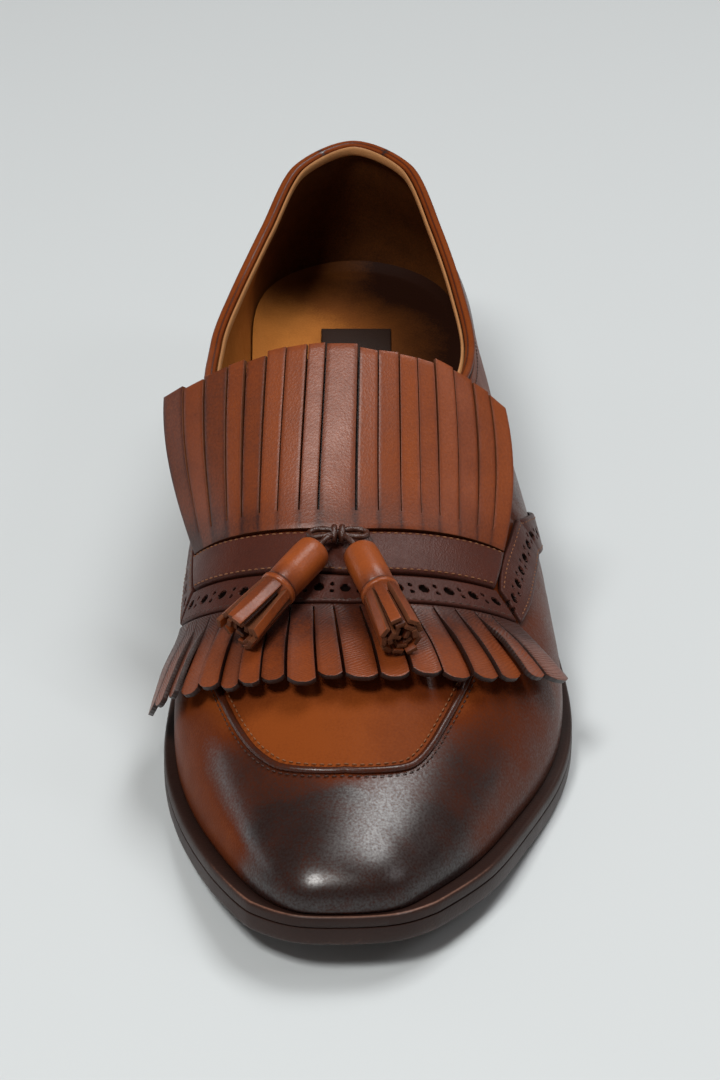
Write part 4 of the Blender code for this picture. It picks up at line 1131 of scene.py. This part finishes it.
# %% One row of stitches
SPINDLE = np.array([(-1.0, 0.30), (-0.7, 0.85), (0.0, 1.0), (0.7, 0.85), (1.0, 0.30)])  # along, radius
SPINDLE_SIDES = 6
SINK = 0.8  # how deep a stitch's ends lie, in its own radius
Thread = namedtuple("Thread", "finish pitch length radius")


def stitch_row(name, path, normals, thread):
    """Spindles at an even pitch along a path: rings of points whose radius follows the template, with the
    ends drawn into the leather by the square of the way from the middle."""
    walked = walk(path)
    count = max(int(walked[-1] / thread.pitch), 1)
    at = (np.arange(count) + 0.5) * walked[-1] / count

    def picked(values, where):
        return np.stack([np.interp(where, walked, column) for column in values.T], axis=1)

    centre = picked(path, at)
    ahead = unit(picked(path, at + thread.pitch / 4) - centre)
    across = unit(np.cross(ahead, picked(normals, at)))
    directions = np.stack([ahead, across, np.cross(across, ahead)], axis=1)
    step, swell = SPINDLE.T[..., None]
    round_way, up_way = circle(SPINDLE_SIDES).T * thread.radius
    template = np.broadcast_arrays(
        step * thread.length / 2, swell * round_way, swell * up_way - SINK * thread.radius * step**2
    )
    points = centre[:, None, None] + np.einsum("krs,nkd->nrsd", np.stack(template), directions)
    rings = len(SPINDLE)
    first = (np.arange(count) * rings * SPINDLE_SIDES)[:, None, None]
    ends = np.stack([np.arange(SPINDLE_SIDES)[::-1], (rings - 1) * SPINDLE_SIDES + np.arange(SPINDLE_SIDES)])
    quads = (grid_quads(rings, SPINDLE_SIDES, rolled=True) + first).reshape(-1, 4)
    caps = (ends + first).reshape(-1, SPINDLE_SIDES)
    add_piece(name, points, quads.tolist() + caps.tolist(), [FINISH[thread.finish]], crisp=60)


# %% Stitches of the apron and the saddle
APRON_ROWS = [
    ("out", 0.0017, Thread("dark_thread", 0.0019, 0.0012, 0.00018)),
    ("in", -0.0019, Thread("tan_thread", 0.0019, 0.0012, 0.00018)),
]
STITCH_LIFT = 0.0001
STRAP_THREAD = Thread("tan_thread", 0.0018, 0.0011, 0.00019)
BAND_THREAD = Thread("dark_thread", 0.0020, 0.0014, 0.00020)
WING_THREAD = Thread("tan_thread", 0.0018, 0.0012, 0.00017)
apron_across = unit(np.cross(heading(apron_path), apron_normals))
for side, offset, thread in APRON_ROWS:
    line = apron_path + apron_across * offset + apron_normals * STITCH_LIFT
    stitch_row(f"apron_stitches_{side}", line, apron_normals, thread)
share = np.linspace(0.02, 0.98, 160)
for edge, along in (("back", 0.93), ("front", 0.06)):
    inset = SIDE_INSET + (1 - SIDE_INSET) * along
    line, normals = between_edges(STRAP_FRONT, STRAP_BACK, share, inset, SKIN_GAP + STRAP_THICKNESS)
    stitch_row(f"strap_stitches_{edge}", line, normals, STRAP_THREAD)
line, normals = between_edges(BAND_FRONT, STRAP_FRONT, share, 0.10, SKIN_GAP + BAND_THICKNESS)
stitch_row("band_stitches", line, normals, BAND_THREAD)
for name, rows in WINGS.items():
    for edge, across in (("low", 0.12), ("high", 0.88)):
        line = wing_place(rows)(share, across, SKIN_GAP + WING_THICKNESS)
        normals = unit(wing_place(rows)(share, across, 0.01) - line)
        stitch_row(f"{name}_stitches_{edge}", line, normals, WING_THREAD)

# %% [markdown]
# ## The kiltie
# The kiltie is one piece of thicker calf, cut into strips above and below the strap. Each half is a fan, a
# sheet given by a share across and a share along. The upper fan is a cubic from the strap's back edge to a
# free edge in the air; the lower one follows the vamp and curls off it.

# %% Surfaces of the two fans
FAN_INSET = 0.01  # share of the strap's edge left free beside a fan
FAN_GAP = 0.003  # share of the length between a fan's root and the edge it comes from under
FAN_LEAN = 0.4  # how closely the upper fan follows the vamp as it leaves the strap
FAN_SWING = 0.17  # how far the roots of the middle strips are drawn to the lateral side
FAN_BULGE = 0.0028  # how far its outer strips bow out at half their length
TIP_LIFT = 0.0042  # how far the lower strips curl off the vamp
FanPoint = namedtuple("FanPoint", "share x along z")
UPPER_FAN = [
    FanPoint(0.0, -0.049, 0.466, 0.0670),
    FanPoint(0.5, -0.002, 0.498, 0.0885),
    FanPoint(1.0, 0.038, 0.505, 0.0715),
]


def upper_fan(across, along, lift):
    """Point of the upper fan: a cubic that leaves the strap's back edge along the vamp and rises to the free
    edge, moved by lift along its own normal."""
    root_share = across + FAN_SWING * across * (1 - across)
    foot, girth = edge_at(STRAP_BACK, FAN_INSET + (1 - 2 * FAN_INSET) * root_share)
    root = on_upper(foot - FAN_GAP, girth, SKIN_GAP)[0]
    ahead = unit(on_upper(foot - 4 * FAN_GAP, girth, SKIN_GAP)[0] - root)
    fan = np.array(UPPER_FAN)
    x, share, z = (np.polyval(np.polyfit(fan[:, 0], column, 2), across) for column in fan[:, 1:].T)
    edge = np.stack([x, (0.5 - share) * LENGTH, z], axis=-1)
    reach = np.linalg.norm(edge - root, axis=-1, keepdims=True)
    chord = (edge - root) / reach
    low = root + (ahead * FAN_LEAN + chord * (1 - FAN_LEAN)) * reach / 3
    point = bezier(along[..., None], root, low, edge - chord * reach / 3, edge)
    point[..., 0] += FAN_BULGE * (2 * across - 1) ** 3 * 4 * along * (1 - along)
    out = unit(np.cross(np.gradient(point, axis=0), chord))
    return point + out * lift[..., None]


def lower_fan(across, along, lift):
    """Point of the lower fan: it lies on the vamp at the band and curls off it towards its tips. It is laid
    from the lateral side, so that its faces point out."""
    foot_tip, girth_tip = edge_at(FRINGE_TIPS, 1 - across)
    foot_root, girth_root = edge_at(BAND_FRONT, FAN_INSET + (1 - 2 * FAN_INSET) * (1 - across))
    foot_root = foot_root + FAN_GAP
    foot = foot_root + (foot_tip - foot_root) * along
    girth = girth_root + (girth_tip - girth_root) * along
    return on_upper(foot, girth, SKIN_GAP + TIP_LIFT * along**1.5 + lift)[0]


print("free edge of the upper fan at", [point.z * 1000 for point in UPPER_FAN], "mm")

# %% [markdown]
# A fan is a grid whose columns come in groups, one group for each strip. The faces between two groups are
# left out beyond the root, and what is left is thickened. Every strip has its own small twist, lift and
# length from a seeded table, because no two cut strips lie alike. The sides of the upper strips show raw,
# tan leather, and the lower strips, which are bent more, carry a fine hatch.

# %% Table of the two fans
# Widths of the centre and outer strips in strips, fan width and slits in metres, how much wider the slits are
# open on one side, root and clip as shares of the strip's length, play as a share of the full bends, and then
# how worn and how dark the leather is, with the painted shade on the medial side, how far the painted shade
# at the root fades, and how dark that shade is.
Fan = namedtuple(
    "Fan",
    "name strips centre outer width rows slit slit_centre open root clip play "
    "worn dark shade fade root_dark rim stands_for",
)
FANS = [
    Fan("fringe_above", 17, 1.7, 1.0, 0.095, 30, 0.00022, 0.0006, 2.2, 0.13, 0.0, 0.25,
        0.0, 0.34, 0.34, 0.30, 0.26, "raw_edge", "kiltie_upper"),
    Fan("fringe_below", 18, 1.1, 1.7, 0.115, 34, 0.00035, 0.0004, 1.0, 0.05, 0.05, 1.00,
        1.0, 0.46, 0.0, 0.80, 0.55, "dyed_edge", "kiltie_lower"),
]
FRINGE_THICKNESS = 0.0013
STRIP_COLUMNS = 7
HATCH_PITCH = 0.0009
print("strips:", [fan.strips for fan in FANS])

# %% Strips of a fan


def strip_borders(fan, chance):
    """Left and right border of every strip, as shares across: uneven widths, less half a slit on both
    sides."""
    middle = fan.strips // 2
    widths = chance.uniform(0.88, 1.12, fan.strips)
    widths[middle] = fan.centre
    widths[[0, -1]] = fan.outer
    cuts = np.concatenate([[0], np.cumsum(widths)]) / widths.sum()
    slits = fan.slit * chance.uniform(0.5, 1.2, fan.strips + 1)
    slits[middle : middle + 2] = fan.slit_centre
    slits[2:middle] *= fan.open
    slits[[0, -1]] = 0
    return cuts[:-1] + slits[:-1] / fan.width / 2, cuts[1:] - slits[1:] / fan.width / 2


def hatch_lines(fan, sheet, across, c, own):
    """Phase of the hatch and how worn it is: lines at an even pitch down a strip, slanting and wandering a
    little, strongest on the strips that spread the most."""
    down = np.cumsum(np.linalg.norm(np.diff(sheet, axis=1, prepend=sheet[:, :1]), axis=2), axis=1)
    from_middle = 2 * across - 1
    wander = 0.35 * np.sin(900 * down + 2 * own[:, None])
    phase = 2 * np.pi * (down / HATCH_PITCH + 2.2 * c * np.sign(from_middle) + wander)
    worn = fan.worn * (0.25 + 0.75 * rising(np.abs(from_middle), 0.45, 0.35))
    return {"hatch": phase, "worn": np.broadcast_to(worn, phase.shape)}


def fringe(fan, place, chance):
    """A fan of strips. c runs from -1 to 1 over each strip; its tip may be clipped back at the corners, and
    chance gives every strip its own root, rise, twist, cup, length and slant."""
    left, right = strip_borders(fan, chance)
    own = np.repeat(np.arange(fan.strips), STRIP_COLUMNS)
    c = np.tile(np.linspace(-1, 1, STRIP_COLUMNS), fan.strips)[:, None]
    across = ((left + right) / 2)[own, None] + ((right - left) / 2)[own, None] * c

    def each(low, high, even=0.0):
        """A chance value for every strip, over an even part, at all its columns."""
        return (chance.uniform(low, high, fan.strips) + even)[own, None]

    root = fan.root * each(0.8, 1.2)
    rise = fan.play * each(0.0, 0.0009, 0.0004 * (np.arange(fan.strips) % 2))
    twist = fan.play * each(-0.0006, 0.0006, -0.0004 * np.linspace(-1, 1, fan.strips))
    cup = fan.play * each(0.0, 0.0004)
    reach = 1 - (0.03 + 0.06 * fan.play) * each(0.0, 1.0)
    slant = fan.play * each(-0.02, 0.02)
    t = np.linspace(0, 1, fan.rows)
    along = t * (reach + slant * c - fan.clip * np.maximum(2 * np.abs(c) - 1, 0))
    bend = rising(along, root, 0.45) * (rise + twist * c + cup * c * c)
    sheet = place(np.broadcast_to(across, along.shape), along, bend)
    faces = grid_quads(*along.shape)
    column, row = np.divmod(np.arange(len(faces)), fan.rows - 1)
    between = column % STRIP_COLUMNS == STRIP_COLUMNS - 1
    # painted shade: darker near the root, under the strap or the band, and on the medial side of a fan
    tone = fan.dark + each(-0.12, 0.12) + fan.root_dark * (1 - smooth(along / fan.fade))
    tone = tone + fan.shade * smooth(0.9 - 2 * across) + 0.22 * np.abs(c) ** 5
    return add_piece(
        fan.name, sheet, faces[~between | (t[row + 1] <= fan.root)],
        [FINISH["fringe_calf"], FINISH[fan.rim]], [fan.stands_for],
        {"burnish": np.clip(tone, 0, 1), **hatch_lines(fan, sheet, across, c, own)}, crisp=80,
    )


for fan, place, seed in zip(FANS, (upper_fan, lower_fan), (4, 9)):
    strips = fringe(fan, place, np.random.default_rng(seed))
    thicken(strips, FRINGE_THICKNESS, 1, rim=1, softened=0.00010)

# %% [markdown]
# Behind the upper fan stands a thin dark sheet, a painted shade: it is what shows through the slits.

# %% Painted shade behind the upper fan
SHADE_SHEET_TOP = 0.92
SHADE_SHEET_ROOT = 0.02
SHADE_SHEET_INSET = 0.012
SHADE_SHEET_LIFTS = (-0.0003, -0.0008)  # front and rear face, behind the strips
back_across, back_along = np.meshgrid(
    np.linspace(SHADE_SHEET_INSET, 1 - SHADE_SHEET_INSET, 80),
    np.linspace(SHADE_SHEET_ROOT, SHADE_SHEET_TOP, 20),
    indexing="ij",
)
shade_sheet = [upper_fan(back_across, back_along, np.full(back_across.shape, lift)) for lift in SHADE_SHEET_LIFTS]
# a dark sheet that stands for the shade seen through the slits
add_piece(
    "slit_shade_sheet", np.stack(shade_sheet), slab_faces(*back_across.shape)[0],
    [FINISH["dyed_edge"]],
)

# %% [markdown]
# ## Tassels and bow
# A tassel has a smooth, tightly rolled head, a ring, and a skirt of thick square-ended strips. The head is
# a profile turned round the tassel's axis. Each strip of the skirt is a flat plate that leaves the ring and
# spreads; three layers of plates fill the skirt, the inner ones painted darker as the shade inside it, and
# every plate darker towards its root as painted shade.

# %% Tassel heads
TasselAxis = namedtuple("TasselAxis", "name x along z tip_x tip_along tip_z")
TASSELS = [
    TasselAxis("tassel_medial", -0.0088, 0.6697, 0.0581, -0.0302, 0.7620, 0.0486),
    TasselAxis("tassel_lateral", 0.0012, 0.6744, 0.0582, 0.0147, 0.8020, 0.0509),
]
Turned = namedtuple("Turned", "along radius")
TASSEL_HEAD = [Turned(*row) for row in (
    (0.0, 0.0), (0.0, 0.0014), (0.0002, 0.0028), (0.0007, 0.0038), (0.0016, 0.0044), (0.0040, 0.0046),
    (0.0100, 0.0046), (0.0146, 0.0045), (0.0150, 0.0042), (0.0153, 0.0046), (0.0156, 0.0049),
    (0.0165, 0.0049), (0.0168, 0.0046), (0.0171, 0.0041), (0.0190, 0.0034), (0.0194, 0.0),
)]
HEAD_SIDES = 48


def model_point(x, along, z):
    """Point from its place across, its share of the length and its height."""
    return np.array([x, (0.5 - along) * LENGTH, z])


def tassel_axes(row):
    """Start of a tassel, its axis, and the two directions across the axis."""
    start = model_point(row.x, row.along, row.z)
    axis = unit(model_point(row.tip_x, row.tip_along, row.tip_z) - start)
    side = unit(np.cross(axis, [0, 0, 1]))
    return start, axis, side, np.cross(side, axis)


def spokes(angles, side, over):
    """Unit directions at angles round an axis."""
    return np.outer(np.cos(angles), side) + np.outer(np.sin(angles), over)


def tassel_head(row):
    """The profile turned about the axis, with painted shade in the groove above the ring and below the ring.
    """
    start, axis, side, over = tassel_axes(row)
    turn = -2 * np.pi * np.arange(HEAD_SIDES) / HEAD_SIDES
    down, radius = np.array(TASSEL_HEAD).T
    head = start + axis * down[:, None] + spokes(turn, side, over)[:, None] * radius[:, None]
    # painted shade in the groove above the ring and where the head runs into the skirt
    head_shade = 0.14 + 0.85 * bell(down, 0.0151, 0.0006) + 0.4 * rising(down, 0.0164, 0.001)
    add_piece(
        row.name + "_head", head, grid_quads(HEAD_SIDES, len(TASSEL_HEAD), around=True),
        [FINISH["fringe_calf"]], [row.name], {"burnish": np.tile(head_shade, (HEAD_SIDES, 1))},
        weld=1e-6, crisp=60,
    )


# %% Tassel skirts
Skirt = namedtuple("Skirt", "strips root_radius tip_radius width thickness reach turn dark")
# the last column is a layer's tone; the inner layers are painted darker as the shade inside the skirt
SKIRTS = [
    Skirt(9, 0.0046, 0.0061, 0.0028, 0.0013, 0.0165, 0.0, 0.40),
    Skirt(7, 0.0030, 0.0042, 0.0026, 0.0013, 0.0158, 0.4, 0.85),
    Skirt(4, 0.0015, 0.0023, 0.0024, 0.0013, 0.0150, 0.2, 1.0),
]
SKIRT_ROOT = 0.0170
PLATE_COLUMNS, PLATE_ROWS = 5, 12


def tassel_skirt(row, layer, skirt, chance):
    """One layer of plates: each is spanned by its own tangent and by a line from the ring out to its tip,
    with its own angle, length, spread and lean."""
    start, axis, side, over = tassel_axes(row)

    def each(low, high):
        """A chance value for every plate."""
        return chance.uniform(low, high, skirt.strips)[:, None, None, None]

    angles = 2 * np.pi * (np.arange(skirt.strips) + skirt.turn) / skirt.strips
    angles = angles + chance.uniform(-0.16, 0.16, skirt.strips)
    out = spokes(angles, side, over)[:, None, None]
    c = np.linspace(-1, 1, PLATE_COLUMNS)[:, None, None]
    t = np.linspace(0, 1, PLATE_ROWS)[:, None]
    reach = skirt.reach * each(0.86, 1.0)
    flare = (skirt.tip_radius - skirt.root_radius) * each(0.35, 1.1) * (1.4 * t - 0.4 * t * t)
    lean = each(-0.0009, 0.0009) * t * t
    wide = skirt.width / 2 * (0.86 + 0.14 * t)
    points = start + axis * (SKIRT_ROOT + reach * t) + out * (skirt.root_radius + flare)
    points = points + np.cross(axis, out) * (c * wide + lean)
    first = (np.arange(skirt.strips) * PLATE_COLUMNS * PLATE_ROWS)[:, None, None]
    # painted shade: darker on the inner layers and towards the ring
    tone = skirt.dark + each(-0.12, 0.12) + 0.3 * (1 - t) + 0 * c
    strips = add_piece(
        f"{row.name}_skirt_{layer}", points, (grid_quads(PLATE_COLUMNS, PLATE_ROWS) + first).reshape(-1, 4),
        [FINISH["fringe_calf"], FINISH["raw_edge"]], (),
        {"burnish": np.clip(tone, 0, 1)}, crisp=80,
    )
    thicken(strips, skirt.thickness, -1, rim=1, softened=0.00015)


for row, seed in zip(TASSELS, (21, 22)):
    chance = np.random.default_rng(seed)
    tassel_head(row)
    for layer, skirt in enumerate(SKIRTS):
        tassel_skirt(row, layer, skirt, chance)

# %% [markdown]
# The bow is one waxed cord. Its two loops and the two turns round its middle are tubes along formulas, and
# two short ends run to the tassels. Three strands wind round the cord, so its radius swells three times in
# a turn.

# %% Bow of cord
KNOT = model_point(-0.0038, 0.6515, 0.0582)
CORD = 0.00075
CORD_SIDES = 12
CORD_PITCH = 0.0028
STRANDS, STRAND_SWELL = 3, 0.07
LOOP_REACH, LOOP_HALF = 0.0072, 0.0023
LOOP_END = 0.12  # angle left open where a loop goes under the turns
TURN_HALF, TURN_RISE, TURN_PLACES = 0.0021, 0.0016, (-0.0010, 0.0010)
CORD_ARCH = 0.0012


def cord_piece(name, path, stands_for=(), closed=False):
    """A round cord along a path given over the knot's centre, with a spiral of strands as ridges. A closed
    path stands in a plane across X, so its rings are set out from X, and its spiral takes a whole number of
    coils."""
    path = path + KNOT
    run = heading(path, closed)
    up = np.array([1.0, 0, 0] if closed else [0, 0, 1.0])
    normals = unit(up - run * (run @ up)[:, None])
    length = walk(path, closed)
    coils = length[-1] / CORD_PITCH
    twist = 2 * np.pi * (round(coils) if closed else coils) * length[: len(path), None] / length[-1]
    turn = 2 * np.pi * np.arange(CORD_SIDES) / CORD_SIDES
    radius = CORD * (1 + STRAND_SWELL * np.cos(STRANDS * turn + twist))
    section = radius[..., None] * circle(CORD_SIDES)
    tube(name, path, normals, section, FINISH["waxed_cord"], stands_for, closed, crisp=80)


turn = np.linspace(LOOP_END, 2 * np.pi - LOOP_END, 90)
out = (1 - np.cos(turn)) / 2
for name, way, stands_for in (("bow_loop_medial", -1, ["tassel_knot"]), ("bow_loop_lateral", 1, [])):
    wide = LOOP_HALF * np.sin(turn) * (0.45 + 0.55 * out)
    high = 0.0004 + 0.0012 * np.sin(turn / 2) * np.cos(turn / 2) ** 2
    cord_piece(name, np.stack([way * LOOP_REACH * out, wide, high], axis=1), stands_for)
for number, place in enumerate(TURN_PLACES):
    round_way, up_way = (circle(48) * [TURN_HALF, TURN_RISE]).T
    wrap = np.stack([place + 0 * up_way, round_way, 0.0005 + up_way], axis=1)
    cord_piece(f"bow_wrap_{number}", wrap, closed=True)
for row in TASSELS:
    t = np.linspace(0, 1, 24)[:, None]
    end = model_point(row.x, row.along, row.z) - KNOT
    cord_piece(row.name + "_cord", end * t + [0, 0, CORD_ARCH] * np.sin(np.pi * t))

# %% [markdown]
# ## Collar, heel tab and sock
# The collar is finished with a narrow rolled binding, with a painted line of shade along its fold, painted
# shade on its flanks, and darker at the two seams by the heel tab. Inside it the lining stands up as a thin
# tan edge lightened into a painted highlight, and below it runs one row of stitches.
# Both rolls are ovals carried round the topline, at points that are evenly spaced along it.

# %% Collar binding and lining edge
COLLAR_POINTS = 420
BINDING_SIDES, LINING_SIDES = 24, 12
BINDING_HALF, BINDING_CENTRE = (0.00145, 0.00090), (-0.00095, 0.0008)  # out of the shoe and up
LINING_HALF, LINING_CENTRE = (0.0005, 0.0016), (-0.0031, 0.0)
TAB_WIDTHS = (0.0085, 0.0115)  # half widths at the foot and at the collar
TOPLINE_THREAD = Thread("dark_thread", 0.0021, 0.0015, 0.00020)
TOPLINE_HEIGHT = 0.93  # share of a column
fine_u = np.linspace(KNOTS[THROAT], PERIOD - KNOTS[THROAT], 2400)
top_walk = walk(skin(fine_u, 1.0))
collar_u = np.interp(np.linspace(0, top_walk[-1], COLLAR_POINTS, endpoint=False), top_walk, fine_u)
collar_path, collar_out = lifted(collar_u, np.ones_like(collar_u), np.zeros_like(collar_u))
collar_up = unit(np.cross(collar_out, heading(collar_path, True)))
collar_line = collar_path + collar_up * SKIN_GAP
binding_side = circle(BINDING_SIDES)[:, 0]
# painted shade on the binding: a dark line along the fold, and its flanks darker
binding_tone_and_shade = 0.20 + 0.7 * bell(binding_side, -0.25, 0.14) + 0.4 * np.abs(binding_side) ** 6
from_back = np.abs(walk(collar_path) - np.interp(HALF, collar_u, walk(collar_path)))
tab_seams = 0.8 * bell(from_back, TAB_WIDTHS[1], 0.0007)
tube(
    "collar_roll", collar_line, collar_up, circle(BINDING_SIDES) * BINDING_HALF + BINDING_CENTRE,
    FINISH["cognac_calf"], ["collar_binding"], True,
    {"burnish": np.clip(binding_tone_and_shade + tab_seams[:, None], 0, 1)},
)
# the lining edge, whose light tan finish carries a painted highlight
tube(
    "lining_edge", collar_line, collar_up, circle(LINING_SIDES) * LINING_HALF + LINING_CENTRE,
    FINISH["lining_rim_highlight"], (), True,
)
topline_v = np.full_like(collar_u, TOPLINE_HEIGHT)
topline, topline_out = lifted(collar_u, topline_v, np.full_like(collar_u, STITCH_LIFT))
stitch_row("topline_stitches", topline, topline_out, TOPLINE_THREAD)

# %% [markdown]
# At the back a small tab of saddle calf covers the seam. It is one more overlay with a rolled edge, laid
# out in steps of the loop that are worked out from a short measured stretch at the heel.

# %% Heel tab
TAB_HEIGHTS = (0.60, 0.955)  # shares of the back column
TAB_STRETCH = STATION_U[[-1, -80]]
per_metre = (TAB_STRETCH[0] - TAB_STRETCH[1]) / np.linalg.norm(np.subtract(*skin(TAB_STRETCH, 0.8)))


def tab_place(across, up, lift):
    """Point of the tab: its half width grows from the foot to the collar."""
    height = TAB_HEIGHTS[0] + (TAB_HEIGHTS[1] - TAB_HEIGHTS[0]) * up
    half = TAB_WIDTHS[0] + (TAB_WIDTHS[1] - TAB_WIDTHS[0]) * up
    return lifted(HALF + (2 * across - 1) * half * per_metre, height + 0 * across, lift)[0]


trim_piece(
    Trim("heel_tab_calf", "heel_tab", (40, 40), BAND_THICKNESS, 0.020, 0.018, 0.0008, 0.50, False), tab_place,
)

# %% [markdown]
# On the sock lies a small dark patch, a thin slab with a rolled edge that follows the heel seat.

# %% Sock patch
LABEL_X, LABEL_ALONG, LABEL_WIDTH, LABEL_DEPTH = 0.0008, 0.180, 0.0205, 0.018
LABEL_THICKNESS = 0.0006
LABEL_LINES = 12


def label_place(across, along, lift):
    """Point of the patch: level across, following the heel seat along."""
    x = LABEL_X + (across - 0.5) * LABEL_WIDTH + 0 * along
    y = (0.5 - LABEL_ALONG) * LENGTH + (along - 0.5) * LABEL_DEPTH + 0 * across
    return np.stack([x, y, tread_height(y) + INSOLE_TOP + lift], axis=-1)


label_across = spread(LABEL_LINES, LABEL_WIDTH, LABEL_THICKNESS)[:, None]
label_along = spread(LABEL_LINES, LABEL_DEPTH, LABEL_THICKNESS)[None, :]
label_round = rolled_edge(label_across, label_along, LABEL_WIDTH, LABEL_DEPTH, LABEL_THICKNESS)
label_lifts = (GAP + LABEL_THICKNESS * (0.3 + 0.7 * label_round), GAP + 0 * label_round)
add_piece(
    "sock_patch", np.stack([label_place(label_across, label_along, lift) for lift in label_lifts]),
    slab_faces(*label_round.shape)[0], [FINISH["label_patch"]], ["sock_label"],
)
